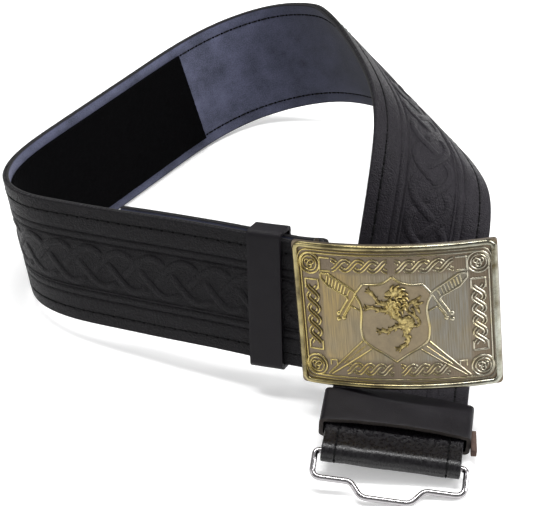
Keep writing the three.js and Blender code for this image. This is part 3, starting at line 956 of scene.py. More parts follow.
# about half the way round a keeper, in the flat map's unit
keeper_half_round = 0.65
buckle_keeper_place, buckle_keeper_width, buckle_keeper_skew = 16, 15.0, 4.0
hook_keeper_inset, hook_keeper_width, hook_keeper_bulge = 12, 18.0, 2.0


def strap_frame(along):
    """The strap's middle, the way ahead, across and out at one place along it, in mm."""
    at = np.array([along])
    values = [strap_value(values, at)[0] for values in (place_middle, place_ahead, place_across, place_out)]
    return [Vector(value) for value in values]


def quadratic(start, control, end, share):
    """A point on a curve that leaves start for control and bends to end."""
    return start.lerp(control, share).lerp(control.lerp(end, share), share)


def keeper_ring(low, high, side, corner, rise):
    """The band's closed section line, as points across the strap and out from it."""
    corners = (
        (Vector((side, low + corner)), Vector((side, high - corner)), None),
        (Vector((side, high - corner)), Vector((side - corner, high)), Vector((side, high))),
        (Vector((side - corner, high)), Vector((-side + corner, high)), Vector((0, high + 2 * rise))),
        (Vector((-side + corner, high)), Vector((-side, high - corner)), Vector((-side, high))),
        (Vector((-side, high - corner)), Vector((-side, low + corner)), None),
        (Vector((-side, low + corner)), Vector((-side + corner, low)), Vector((-side, low))),
        (Vector((-side + corner, low)), Vector((side - corner, low)), None),
        (Vector((side - corner, low)), Vector((side, low + corner)), Vector((side, low))),
    )
    points = []
    for start, end, control in corners:
        control = control if control is not None else (start + end) / 2
        pieces = max(2, round((end - start).length / keeper_point_spacing))
        if start.y != end.y and start.x != end.x:
            pieces = 6
        points += [quadratic(start, control, end, piece / pieces) for piece in range(pieces)]
    return points


def keeper_band(name, place, width, leg_gap, rise, skew, materials):
    """A closed leather band round both legs of a fold of the strap."""
    low = 2 * lining_in - leg_gap - face_out - keeper_ease - keeper_thickness
    high = face_out + keeper_ease + keeper_thickness
    side = strap_width / 2 + keeper_slack + keeper_thickness
    ring = keeper_ring(low, high, side, keeper_corner, rise)
    middle, ahead, across, out = strap_frame(place)
    shape = bmesh.new()
    bmesh.ops.create_grid(shape, x_segments=len(ring), y_segments=keeper_columns, size=1)
    flat_map = shape.loops.layers.uv.new("flat")
    for face in shape.faces:
        for loop in face.loops:
            round_share, width_share = loop.vert.co.xy
            loop[flat_map].uv = (round_share * keeper_half_round, width_share * width / 2 / flat_map_unit)
    turn = Matrix.Rotation(math.radians(skew), 3, "Y")
    for vert in shape.verts:
        point = ring[round((vert.co.x + 1) / 2 * len(ring)) % len(ring)]
        back = vert.co.y * width / 2
        swelling = noise.noise(Vector((point.x / keeper_wave_length, back / keeper_wave_width, point.y)))
        wave = keeper_wave * swelling
        local = turn @ Vector((point.x, point.y, back + 0.5 * wave))
        laid = middle + across * local.x + out * (local.y + wave) - ahead * local.z
        vert.co = (laid + Vector(belt_shift)) / 1000
    bmesh.ops.remove_doubles(shape, verts=shape.verts, dist=1e-7)
    bmesh.ops.recalc_face_normals(shape, faces=shape.faces)
    mesh = bpy.data.meshes.new(name)
    shape.to_mesh(mesh)
    shape.free()
    for material in materials:
        mesh.materials.append(material)
    mesh.shade_smooth()
    piece = bpy.data.objects.new(name, mesh)
    bpy.context.scene.collection.objects.link(piece)
    wall = piece.modifiers.new("wall", "SOLIDIFY")
    wall.thickness = keeper_thickness / 1000
    wall.offset = -1
    wall.material_offset_rim = 1
    round_edges = piece.modifiers.new("rounded edges", "BEVEL")
    round_edges.width = keeper_edge_round / 1000
    round_edges.segments = 3
    round_edges.limit_method = "ANGLE"
    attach(piece, "strap")
    return piece


# Smooth polished leather: the same black hide, not pressed, with a finer grain and more gloss.
smooth_leather = new_material("polished_black_leather")
smooth_flat = add_node(smooth_leather, "ShaderNodeUVMap", {"uv_map": "flat"}, {})
smooth_clouds = add_node(
    smooth_leather, "ShaderNodeTexNoise", {"Scale": 11.0, "Detail": 5.0}, {"Vector": smooth_flat.outputs[0]}
)
# pores of about 0.4 mm
smooth_pores = add_node(
    smooth_leather,
    "ShaderNodeTexNoise",
    {"Scale": 250.0, "Detail": 4.0},
    {"Vector": smooth_flat.outputs[0]},
)
smooth_colour = add_node(
    smooth_leather,
    "ShaderNodeMix",
    {"data_type": "RGBA", 6: linear("0d0c0e"), 7: linear("1c191e")},
    {0: smooth_clouds.outputs["Fac"]},
)
smooth_roughness = add_node(
    smooth_leather,
    "ShaderNodeMapRange",
    {"From Min": 0.3, "From Max": 0.7, "To Min": 0.3, "To Max": 0.5},
    {"Value": smooth_clouds.outputs["Fac"]},
)
smooth_bump = add_node(
    smooth_leather,
    "ShaderNodeBump",
    {"Strength": 0.45, "Distance": 0.0003},
    {"Height": smooth_pores.outputs["Fac"]},
)
finish_material(
    smooth_leather,
    add_node(
        smooth_leather,
        "ShaderNodeBsdfPrincipled",
        {"IOR": 1.5, "Specular IOR Level": 0.15},
        {
            "Base Color": smooth_colour.outputs[2],
            "Roughness": smooth_roughness.outputs["Result"],
            "Normal": smooth_bump.outputs["Normal"],
        },
    ),
)

# The cut edge: bare tan fibres with black dye rubbed over them, so a dull grey-brown with streaks.
cut_edge = new_material("dyed_cut_leather_edge")
cut_place = add_node(cut_edge, "ShaderNodeTexCoord", {}, {})
cut_fibres = add_node(
    cut_edge, "ShaderNodeTexNoise", {"Scale": 700.0, "Detail": 6.0}, {"Vector": cut_place.outputs["Object"]}
)
cut_colour = add_node(
    cut_edge,
    "ShaderNodeMix",
    {"data_type": "RGBA", 6: linear("141211"), 7: linear("3f3733")},
    {0: cut_fibres.outputs["Fac"]},
)
cut_bump = add_node(
    cut_edge, "ShaderNodeBump", {"Strength": 0.5, "Distance": 0.0003}, {"Height": cut_fibres.outputs["Fac"]}
)
finish_material(
    cut_edge,
    add_node(
        cut_edge,
        "ShaderNodeBsdfPrincipled",
        {"Roughness": 0.85},
        {"Base Color": cut_colour.outputs[2], "Normal": cut_bump.outputs["Normal"]},
    ),
)

buckle_keeper = keeper_band(
    "buckle_end_keeper_band",
    buckle_keeper_place + buckle_keeper_width / 2,
    buckle_keeper_width,
    tail_gap,
    0.0,
    buckle_keeper_skew,
    [smooth_leather, smooth_leather],
)
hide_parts("keeper_buckle_end")
hook_keeper = keeper_band(
    "hook_end_keeper_band",
    waist_length - hook_keeper_inset - hook_keeper_width / 2,
    hook_keeper_width,
    fit_gap,
    hook_keeper_bulge,
    0.0,
    [smooth_leather, cut_edge],
)
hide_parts("keeper_hook_end")

# The wide keeper's strip laps over itself at one side, a little askew, and shows its bare cut end.
bare_leather = new_material("bare_cut_leather_end")
bare_place = add_node(bare_leather, "ShaderNodeTexCoord", {}, {})
bare_fibres = add_node(
    bare_leather,
    "ShaderNodeTexNoise",
    {"Scale": 900.0, "Detail": 6.0},
    {"Vector": bare_place.outputs["Object"]},
)
bare_colour = add_node(
    bare_leather,
    "ShaderNodeMix",
    {"data_type": "RGBA", 6: linear("3b302d"), 7: linear("6a574e")},
    {0: bare_fibres.outputs["Fac"]},
)
bare_bump = add_node(
    bare_leather,
    "ShaderNodeBump",
    {"Strength": 0.5, "Distance": 0.0003},
    {"Height": bare_fibres.outputs["Fac"]},
)
finish_material(
    bare_leather,
    add_node(
        bare_leather,
        "ShaderNodeBsdfPrincipled",
        {"Roughness": 0.9, "Specular IOR Level": 0.2},
        {"Base Color": bare_colour.outputs[2], "Normal": bare_bump.outputs["Normal"]},
    ),
)

lap_length, lap_reach, lap_rise = 11.0, 2.4, 3.6
lap_inset, lap_stand, lap_sink = 14.0, 1.1, 1.4
lap_skew = -6
lap_edge_round = 0.3
lap = bmesh.new()
lap_side = strap_width / 2 + keeper_slack + keeper_thickness + lap_stand
lap_middle = (waist_length - lap_inset, -lap_side, -lap_sink)
lap_matrix = Matrix.Translation(lap_middle) @ Matrix.Rotation(math.radians(lap_skew), 4, "Z")
lap_matrix = lap_matrix @ Matrix.Diagonal((lap_length, lap_reach, lap_rise, 1.0))
bmesh.ops.create_cube(lap, size=1.0, matrix=lap_matrix)
bmesh.ops.bevel(
    lap,
    geom=lap.edges[:],
    offset=lap_edge_round,
    affect="EDGES",
    segments=2,
    profile=0.5,
    material=-1,
)
finished_piece("hook_end_keeper_lap", lap, on_strap, [bare_leather], "strap")


# Buckle plate
# Cast in brass, curved to the body, antiqued dark in its recesses and polished on its rim and high places.
# Its ground is brushed with fine upright lines, and a rounded rim runs all round it.
plate_width, plate_height = 84.5, 63.5
plate_corner = 4.0
plate_radius = 108.0
plate_thickness = 1.6
plate_columns, plate_rows = 42, 16
plate_corner_cut = 1.6
rim_half_width, rim_height = 1.3, 1.15
rim_foot, rim_fullness = -plate_thickness - 0.1, 0.4
bar_inset, bar_depth = 9.5, 15.4
buckle_swing = math.radians(22.5)
bar_x = -plate_width / 2 + bar_inset

bar_middle, bar_ahead, bar_across, bar_out = strap_frame(0.0)
bar_middle = bar_middle - bar_fold_radius * bar_out
plate_wide = Matrix.Rotation(buckle_swing - bar_pinch, 3, bar_across) @ -bar_ahead
plate_out = plate_wide.cross(bar_across)
plate_middle = bar_middle - bar_x * plate_wide + bar_depth * plate_out


def on_buckle_back(points):
    """Points of the buckle drawn across, up and out of its face, in mm, in their place in metres."""
    across, up, out = points.T
    laid = np.array(plate_middle) + across[:, None] * np.array(plate_wide)
    laid = laid + up[:, None] * np.array(bar_across) + out[:, None] * np.array(plate_out)
    return (laid + belt_shift) / 1000


def on_buckle(points):
    """Points drawn flat on the buckle's face, bent to the face's curve and put in place."""
    across, up, out = points.T
    depth = np.sqrt((plate_radius + out) ** 2 - across**2) - plate_radius
    return on_buckle_back(np.stack([across, up, depth], axis=1))


corner_pieces = 6
straight_spacing = 1.6


def rounded_rectangle(half_wide, half_tall, corner):
    """The points of a closed rounded rectangle."""

    def corner_point(quarter, share):
        """A point on the arc of one corner."""
        side_x, side_y = ((1, 1), (-1, 1), (-1, -1), (1, -1))[quarter % 4]
        angle = math.pi / 2 * (quarter + share)
        across = side_x * (half_wide - corner) + corner * math.cos(angle)
        return across, side_y * (half_tall - corner) + corner * math.sin(angle)

    points = []
    for quarter in range(4):
        points += [corner_point(quarter, piece / corner_pieces) for piece in range(corner_pieces + 1)]
        start = Vector(points[-1])
        end = Vector(corner_point(quarter + 1, 0))
        pieces = max(2, round((end - start).length / straight_spacing))
        points += [tuple(start.lerp(end, piece / pieces)) for piece in range(1, pieces)]
    return points


# Antiqued cast brass: warm yellow where it is polished, brown-black patina in the recesses, with grey-green
# streaks. The rise attribute is the height over the face's ground in millimetres.
brass = new_material("antiqued_cast_brass")
brass_rise = add_node(brass, "ShaderNodeAttribute", {"attribute_name": "rise"}, {})
brass_flat = add_node(brass, "ShaderNodeUVMap", {"uv_map": "flat"}, {})
brass_clouds = add_node(
    brass,
    "ShaderNodeTexNoise",
    {"Scale": 9.0, "Detail": 6.0, "Roughness": 0.6},
    {"Vector": brass_flat.outputs[0]},
)
brass_specks = add_node(
    brass,
    "ShaderNodeTexNoise",
    {"Scale": 90.0, "Detail": 5.0, "Roughness": 0.7},
    {"Vector": brass_flat.outputs[0]},
)
brass_uneven = add_node(
    brass,
    "ShaderNodeMath",
    {"operation": "MULTIPLY_ADD", 1: 0.5, 2: -0.25},
    {0: brass_specks.outputs["Fac"]},
)
brass_height = add_node(
    brass,
    "ShaderNodeMath",
    {"operation": "ADD"},
    {0: brass_rise.outputs["Fac"], 1: brass_uneven.outputs[0]},
)
brass_polish = add_node(
    brass,
    "ShaderNodeMapRange",
    {"From Min": 0.02, "From Max": 0.36, "To Min": 0.0, "To Max": 1.0},
    {"Value": brass_height.outputs[0]},
)
brass_place = add_node(brass, "ShaderNodeSeparateXYZ", {}, {0: brass_flat.outputs[0]})
# the left half is rubbed yellower than the right: the flat map runs from -0.42 to 0.42 across the buckle
brass_side = add_node(
    brass,
    "ShaderNodeMapRange",
    {"From Min": -0.3, "From Max": 0.4, "To Min": 0.3, "To Max": -0.2},
    {"Value": brass_place.outputs["X"]},
)
brass_mixture = add_node(
    brass,
    "ShaderNodeMath",
    {"operation": "ADD"},
    {0: brass_clouds.outputs["Fac"], 1: brass_side.outputs["Result"]},
)
brass_tone = add_node(
    brass,
    "ShaderNodeMapRange",
    {"From Min": 0.35, "From Max": 0.72},
    {"Value": brass_mixture.outputs[0]},
)
brass_metal = add_node(
    brass,
    "ShaderNodeMix",
    {"data_type": "RGBA", 6: linear("b0ab9b"), 7: linear("bfae74")},
    {0: brass_tone.outputs["Result"]},
)
brass_patina = add_node(
    brass,
    "ShaderNodeMix",
    {"data_type": "RGBA", 6: linear("5b544a"), 7: linear("6b5d45")},
    {0: brass_tone.outputs["Result"]},
)
brass_colour = add_node(
    brass,
    "ShaderNodeMix",
    {"data_type": "RGBA"},
    {0: brass_polish.outputs["Result"], 6: brass_patina.outputs[2], 7: brass_metal.outputs[2]},
)
brass_roughness = add_node(
    brass,
    "ShaderNodeMapRange",
    {"To Min": 0.52, "To Max": 0.27},
    {"Value": brass_polish.outputs["Result"]},
)
brass_bump = add_node(
    brass, "ShaderNodeBump", {"Strength": 0.25, "Distance": 0.0002}, {"Height": brass_specks.outputs["Fac"]}
)
finish_material(
    brass,
    add_node(
        brass,
        "ShaderNodeBsdfPrincipled",
        {"Metallic": 1.0},
        {
            "Base Color": brass_colour.outputs[2],
            "Roughness": brass_roughness.outputs["Result"],
            "Normal": brass_bump.outputs["Normal"],
        },
    ),
)

plate = bmesh.new()
bmesh.ops.create_grid(plate, x_segments=plate_columns, y_segments=plate_rows, size=1)
for vert in plate.verts:
    vert.co = (vert.co.x * plate_width / 2, vert.co.y * plate_height / 2, 0)
plate_corners = [vert for vert in plate.verts if len(vert.link_edges) == 2]
bmesh.ops.bevel(
    plate,
    geom=plate_corners,
    offset=plate_corner_cut,
    affect="VERTICES",
    segments=4,
    profile=0.5,
    material=-1,
)
plate_walls = bmesh.ops.extrude_face_region(plate, geom=plate.faces[:])
for element in plate_walls["geom"]:
    if isinstance(element, bmesh.types.BMVert):
        element.co.z = -plate_thickness

# The rubbed field: brass brushed upright with fine grit over its patina, so a soft golden and grey sheen in
# streaks. Real brush marks are about 0.2 mm apart; they are drawn 1 mm apart, as coarse as they need to be
# to show.
field = new_material("upright_brushed_brass")
field_flat = add_node(field, "ShaderNodeUVMap", {"uv_map": "flat"}, {})
field_stretch = add_node(
    field,
    "ShaderNodeMapping",
    {"Scale": (130.0, 5.0, 1.0)},
    {"Vector": field_flat.outputs[0]},
)
field_streaks = add_node(
    field,
    "ShaderNodeTexNoise",
    {"Scale": 1.6, "Detail": 5.0, "Roughness": 0.6},
    {"Vector": field_stretch.outputs[0]},
)
field_marks = add_node(
    field,
    "ShaderNodeTexWave",
    {"Scale": 31.0, "Distortion": 0.6},
    {"Vector": field_flat.outputs[0]},
)
field_clouds = add_node(
    field,
    "ShaderNodeTexNoise",
    {"Scale": 4.5, "Detail": 4.0, "Roughness": 0.55},
    {"Vector": field_flat.outputs[0]},
)
field_place = add_node(field, "ShaderNodeSeparateXYZ", {}, {0: field_flat.outputs[0]})
field_side = add_node(
    field,
    "ShaderNodeMapRange",
    {"From Min": -0.35, "From Max": 0.3, "To Min": 0.28, "To Max": -0.3},
    {"Value": field_place.outputs["X"]},
)
field_mixture = add_node(
    field,
    "ShaderNodeMath",
    {"operation": "ADD"},
    {0: field_clouds.outputs["Fac"], 1: field_side.outputs["Result"]},
)
field_tone = add_node(
    field, "ShaderNodeMapRange", {"From Min": 0.3, "From Max": 0.75}, {"Value": field_mixture.outputs[0]}
)
field_base = add_node(
    field,
    "ShaderNodeMix",
    {"data_type": "RGBA", 6: linear("8b8982"), 7: linear("a59063")},
    {0: field_tone.outputs["Result"]},
)
field_worn = add_node(
    field, "ShaderNodeMapRange", {"From Min": 0.3, "From Max": 0.7}, {"Value": field_streaks.outputs["Fac"]}
)
field_colour = add_node(
    field,
    "ShaderNodeMix",
    {"data_type": "RGBA", 6: linear("786e5a")},
    {0: field_worn.outputs["Result"], 7: field_base.outputs[2]},
)
# behind the interlaced bands the ground keeps its brown patina: from 30 mm out and 19 mm up
field_out = add_node(field, "ShaderNodeMath", {"operation": "ABSOLUTE"}, {0: field_place.outputs["X"]})
field_up = add_node(field, "ShaderNodeMath", {"operation": "ABSOLUTE"}, {0: field_place.outputs["Y"]})
field_beside = add_node(
    field, "ShaderNodeMapRange", {"From Min": 0.295, "From Max": 0.315}, {"Value": field_out.outputs[0]}
)
field_above = add_node(
    field, "ShaderNodeMapRange", {"From Min": 0.182, "From Max": 0.202}, {"Value": field_up.outputs[0]}
)
field_border = add_node(
    field,
    "ShaderNodeMath",
    {"operation": "MAXIMUM"},
    {0: field_beside.outputs["Result"], 1: field_above.outputs["Result"]},
)
field_patina = add_node(
    field,
    "ShaderNodeMix",
    {"data_type": "RGBA", 6: linear("5a5046"), 7: linear("8a7d6a")},
    {0: field_clouds.outputs["Fac"]},
)
field_whole = add_node(
    field,
    "ShaderNodeMix",
    {"data_type": "RGBA"},
    {0: field_border.outputs[0], 6: field_colour.outputs[2], 7: field_patina.outputs[2]},
)
field_relief = add_node(
    field,
    "ShaderNodeMath",
    {"operation": "MULTIPLY_ADD", 1: 0.6},
    {0: field_marks.outputs["Fac"], 2: field_streaks.outputs["Fac"]},
)
field_bump = add_node(
    field, "ShaderNodeBump", {"Strength": 0.35, "Distance": 0.0002}, {"Height": field_relief.outputs[0]}
)
finish_material(
    field,
    add_node(
        field,
        "ShaderNodeBsdfPrincipled",
        {"Metallic": 1.0, "Roughness": 0.4},
        {"Base Color": field_whole.outputs[2], "Normal": field_bump.outputs["Normal"]},
    ),
)
buckle_plate = finished_piece("buckle_plate", plate, on_buckle, [field], "buckle")
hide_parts("buckle")

rim = bmesh.new()
rim_line = rounded_rectangle(
    plate_width / 2 - rim_half_width, plate_height / 2 - rim_half_width, plate_corner - rim_half_width
)
add_strand(
    rim,
    rim_line,
    rim_half_width,
    rim_foot,
    rim_height,
    closed=True,
    arc=14,
    fullness=rim_fullness,
)

# The rim's brass is polished further, so it mirrors more, and is streaked olive and grey along its length.
rim_brass = new_material("polished_streaked_brass")
rim_flat = add_node(rim_brass, "ShaderNodeUVMap", {"uv_map": "flat"}, {})
rim_streaks = add_node(
    rim_brass,
    "ShaderNodeTexNoise",
    {"Scale": 7.0, "Detail": 5.0, "Roughness": 0.65},
    {"Vector": rim_flat.outputs[0]},
)
rim_stops = add_node(
    rim_brass,
    "ShaderNodeMapRange",
    {"From Min": 0.36, "From Max": 0.64},
    {"Value": rim_streaks.outputs["Fac"]},
)
rim_place = add_node(rim_brass, "ShaderNodeSeparateXYZ", {}, {0: rim_flat.outputs[0]})
rim_side = add_node(
    rim_brass, "ShaderNodeMapRange", {"From Min": -0.1, "From Max": 0.3}, {"Value": rim_place.outputs["X"]}
)
rim_light = add_node(
    rim_brass,
    "ShaderNodeMix",
    {"data_type": "RGBA", 6: linear("b0a375"), 7: linear("abaca0")},
    {0: rim_side.outputs["Result"]},
)
rim_colour = add_node(
    rim_brass,
    "ShaderNodeMix",
    {"data_type": "RGBA", 6: linear("5c533c")},
    {0: rim_stops.outputs["Result"], 7: rim_light.outputs[2]},
)
rim_fine = add_node(
    rim_brass,
    "ShaderNodeTexNoise",
    {"Scale": 120.0, "Detail": 3.0},
    {"Vector": rim_flat.outputs[0]},
)
rim_roughness = add_node(
    rim_brass,
    "ShaderNodeMapRange",
    {"From Min": 0.3, "From Max": 0.7, "To Min": 0.13, "To Max": 0.25},
    {"Value": rim_fine.outputs["Fac"]},
)
rim_bump = add_node(
    rim_brass, "ShaderNodeBump", {"Strength": 0.08, "Distance": 0.0002}, {"Height": rim_fine.outputs["Fac"]}
)
finish_material(
    rim_brass,
    add_node(
        rim_brass,
        "ShaderNodeBsdfPrincipled",
        {"Metallic": 1.0},
        {
            "Base Color": rim_colour.outputs[2],
            "Roughness": rim_roughness.outputs["Result"],
            "Normal": rim_bump.outputs["Normal"],
        },
    ),
)
finished_piece("buckle_rim", rim, on_buckle, [rim_brass], "buckle")


# Buckle ornament
# Thin raised lines, cast with the plate and polished with the rim: a border, a roundel in each corner,
# panels of interlaced bands, and two swords crossed behind a shield. All of it is traditional work, drawn
# here by its own rules.
line_half = 0.3
line_top = 0.5
line_low = -0.1
line_fullness = 1.25
curve_spacing = 0.4


def smooth_line(points):
    """A smooth curve through a few flat points, as many closer points."""
    points = [Vector(point) for point in points]
    last = len(points) - 1
    line = []
    for span in range(last):
        before, start = points[max(0, span - 1)], points[span]
        end, after = points[span + 1], points[min(last, span + 2)]
        pieces = max(2, round((end - start).length / curve_spacing))
        for piece in range(pieces):
            share = piece / pieces
            pull = (end - before) * share + (2 * before - 5 * start + 4 * end - after) * share**2
            pull += (3 * start - before - 3 * end + after) * share**3
            line.append(start + pull / 2)
    line.append(points[-1])
    return [tuple(point) for point in line]


corner_spacing = 1.2
circle_pieces = 28
line_foot_share = 1.75


def straight_line(points):
    """The same for a line with straight pieces and corners."""
    line = []
    for start, end in zip(points, points[1:]):
        start, end = Vector(start), Vector(end)
        pieces = max(2, round((end - start).length / corner_spacing))
        line += [tuple(start.lerp(end, piece / pieces)) for piece in range(pieces)]
    return [*line, tuple(points[-1])]


def circle_line(middle, radius):
    """A closed circle."""
    line = []
    for step in range(circle_pieces):
        angle = 2 * math.pi * step / circle_pieces
        line.append((middle[0] + radius * math.cos(angle), middle[1] + radius * math.sin(angle)))
    return line


def draw(shape, line, half=line_half, top=line_top, closed=False):
    """Adds one raised line with a narrow crest on a wider foot."""
    foot = line_foot_share * half
    add_strand(shape, line, foot, line_low, top, closed=closed, arc=6, fullness=line_fullness)


def mirrored(points, side, end=1):
    """The points, on that side and at that end of the buckle."""
    return [(side * x, end * y) for x, y in points]


# half width, half height and corner, then half the line's width and its height
border_lines = (
    ((39.9, 28.6, 4.2), 0.22, 0.45),
    ((38.7, 27.3, 4.6), 0.28, 0.55),
)
roundel_place = (34.8, 22.7)
roundel_rings = ((4.5, 0.3), (3.1, 0.25))
roundel_top = 0.6
trefoil_size, trefoil_half, trefoil_points = 0.72, 0.24, 60

lines = bmesh.new()
for border, half, top in border_lines:
    draw(lines, rounded_rectangle(*border), half, top, closed=True)
for side in (-1, 1):
    for end in (-1, 1):
        middle = (side * roundel_place[0], end * roundel_place[1])
        for radius, half in roundel_rings:
            draw(lines, circle_line(middle, radius), half, roundel_top, closed=True)
        trefoil = []
        for step in range(trefoil_points):
            turn = 2 * math.pi * step / trefoil_points
            across = math.sin(turn) + 2 * math.sin(2 * turn)
            upward = math.cos(turn) - 2 * math.cos(2 * turn)
            trefoil.append((middle[0] + trefoil_size * across, middle[1] + trefoil_size * upward))
        draw(lines, trefoil, trefoil_half, roundel_top, closed=True)

# a band of the plaits is drawn by a line at each of its edges
band_half, band_edge_half = 0.66, 0.46
band_top = line_top + 0.1
crossing_dip, crossing_length = 0.8, 1.0


def add_plait(shape, start, way, length, crossings, swing):
    """Two bands, each drawn by its two edges, that cross and go over and under each other in turn."""
    way = Vector(way)
    aside = Vector((-way.y, way.x))
    places = np.linspace(0, length, round(length / curve_spacing) + 1)
    pitch = length / crossings
    for strand in (1, -1):
        off = strand * swing * np.cos(math.pi * places / pitch)
        middle = np.array([Vector(start) + way * place + aside * away for place, away in zip(places, off)])
        ahead = np.gradient(middle, axis=0)
        normal = np.stack([-ahead[:, 1], ahead[:, 0]], axis=1)
        normal /= np.linalg.norm(normal, axis=1, keepdims=True)
        tops = np.full(len(places), band_top)
        for crossing in range(crossings):
            if (crossing % 2 == 0) == (strand > 0):
                off = (places - (crossing + 0.5) * pitch) / crossing_length
                tops -= crossing_dip * np.exp(-(off**4))
        for edge in (-1, 1):
            line = middle + edge * band_half * normal
            add_strand(shape, line, band_edge_half, line_low, tops, arc=6, fullness=line_fullness)


# the side panels: how far out, half their height, the bands' swing and crossings, and the plait's margin
side_panel = (34.3, 15.2, 2.1, 5)
side_margin = 2.2
# the panels above and below: inner and outer end, how far up, swing and crossings
top_panel = (1.6, 25.0, 22.7, 2.15, 4)
bottom_panel = (1.6, 21.5, -22.9, 2.0, 4)
# square brackets close the panels' ends: half their width, and where their legs and their backs are
bracket_half = 2.9
side_bracket = (11.6, 15.6)
top_bracket = (0.8, 5.2)
bottom_bracket, bottom_bracket_half = [(25.6, -22.2), (25.6, -19.8), (28.4, -19.8), (28.4, -22.0)], 0.25
for side in (-1, 1):
    across, half_tall, swing, crossings = side_panel
    start = (side * across, -half_tall + side_margin)
    add_plait(lines, start, (0, 1), 2 * half_tall - 2 * side_margin, crossings, swing)
    leg, back = side_bracket
    near, far = across - bracket_half, across + bracket_half
    bracket = [(near, leg), (near, back), (far, back), (far, leg)]
    for end in (-1, 1):
        draw(lines, straight_line(mirrored(bracket, side, end)))
    for inner, outer, up, swing, crossings in (top_panel, bottom_panel):
        add_plait(lines, (side * inner, up), (side, 0), outer - inner, crossings, swing)
    outer, up = top_panel[1:3]
    leg, back = outer + top_bracket[0], outer + top_bracket[1]
    high, low = up + bracket_half, up - bracket_half
    bracket = [(leg, high), (back, high), (back, low), (leg, low)]
    draw(lines, straight_line(mirrored(bracket, side)))
    draw(lines, straight_line(mirrored(bottom_bracket, side)), bottom_bracket_half)

shield_half = (
    (0.0, 18.2),
    (3.2, 15.9),
    (7.0, 14.8),
    (12.4, 14.8),
    (16.0, 10.3),
    (14.2, 7.3),
    (13.5, 4.0),
    (13.8, -0.4),
    (14.2, -4.6),
    (13.2, -9.7),
    (9.9, -12.8),
    (5.2, -15.6),
    (0.0, -19.2),
)
shield_line_half, shield_line_top = 0.34, 0.65
for side in (-1, 1):
    outline = mirrored(shield_half, side)
    shield_line = smooth_line(outline[:4]) + straight_line(outline[3:5])[1:] + smooth_line(outline[4:])[1:]
    draw(lines, shield_line, shield_line_half, shield_line_top)

# each sword's lines with half their widths: the grip and guard on one side of the shield, and the blade
# from behind the shield to its tip
sword_lines = (
    ([(-30.2, 18.6), (-26.6, 18.4), (-18.0, 12.9), (-15.4, 10.9)], 0.3),
    ([(-30.2, 18.6), (-30.2, 16.6), (-27.2, 13.2), (-19.6, 9.3)], 0.3),
    ([(-15.4, 10.9), (-21.3, 0.9)], 0.32),
    ([(-19.6, 9.3), (-19.0, 8.0), (-22.9, 1.6)], 0.32),
    ([(-20.9, 0.3), (-17.9, 5.1), (-14.2, 3.2)], 0.26),
    ([(-17.9, 12.3), (-19.2, 9.6)], 0.26),
    ([(-13.8, -10.2), (-29.6, -26.2)], 0.3),
    ([(-10.2, -13.6), (-28.2, -26.2)], 0.3),
    ([(-12.6, -12.2), (-22.6, -20.7)], 0.2),
)
sword_top = 0.6
# the turns of the wire round the grip, between its upper and its lower edge
grip_upper = (Vector((-28.0, 18.3)), Vector((-18.6, 13.1)))
grip_lower = (Vector((-29.2, 15.6)), Vector((-20.4, 9.9)))
grip_turns, grip_slant = 7, 0.06
grip_wire_half, grip_wire_top = 0.26, 0.5
for side in (-1, 1):
    for points, half in sword_lines:
        draw(lines, straight_line(mirrored(points, side)), half, sword_top)
    for step in range(grip_turns):
        share = (step + 0.6) / (grip_turns + 0.4)
        upper = grip_upper[0].lerp(grip_upper[1], share)
        lower = grip_lower[0].lerp(grip_lower[1], min(1.0, share + grip_slant))
        wire = straight_line(mirrored([tuple(upper), tuple(lower)], side))
        draw(lines, wire, grip_wire_half, grip_wire_top)

guard_balls = ((-23.4, 1.6), (-21.2, -0.2), (-23.5, -0.9))
ball_half_sizes, ball_up = (1.05, 1.05, 0.75), 0.1
balls = bmesh.new()
for side in (-1, 1):
    for across, upward in guard_balls:
        matrix = Matrix.Translation((side * across, upward, ball_up))
        matrix = matrix @ Matrix.Diagonal((*ball_half_sizes, 1.0))
        bmesh.ops.create_uvsphere(balls, u_segments=14, v_segments=10, radius=1.0, matrix=matrix)

finished_piece("buckle_ornament_lines", lines, on_buckle, [brass], "buckle")
finished_piece("buckle_guard_balls", balls, on_buckle, [brass], "buckle")


# Shield ground
# The part of the plate inside the shield's line. It is not brushed like the field: it is left as cast, with
# its brown patina, so that the lion stands out from it.
ground_height, ground_foot = 0.04, -0.4
ground_columns, ground_rows = 18, 44
ground_inset = 0.1

# Brass with its patina left on: brown, dull and blotched, still metallic.
patina = new_material("brown_patinated_brass")
patina_flat = add_node(patina, "ShaderNodeUVMap", {"uv_map": "flat"}, {})
patina_clouds = add_node(
    patina,
    "ShaderNodeTexNoise",
    {"Scale": 22.0, "Detail": 7.0, "Roughness": 0.65},
    {"Vector": patina_flat.outputs[0]},
)
patina_colour = add_node(
    patina,
    "ShaderNodeMix",
    {"data_type": "RGBA", 6: linear("776c5e"), 7: linear("a8997b")},
    {0: patina_clouds.outputs["Fac"]},
)
patina_bump = add_node(
    patina,
    "ShaderNodeBump",
    {"Strength": 0.3, "Distance": 0.0003},
    {"Height": patina_clouds.outputs["Fac"]},
)
finish_material(
    patina,
    add_node(
        patina,
        "ShaderNodeBsdfPrincipled",
        {"Metallic": 1.0, "Roughness": 0.5},
        {"Base Color": patina_colour.outputs[2], "Normal": patina_bump.outputs["Normal"]},
    ),
)

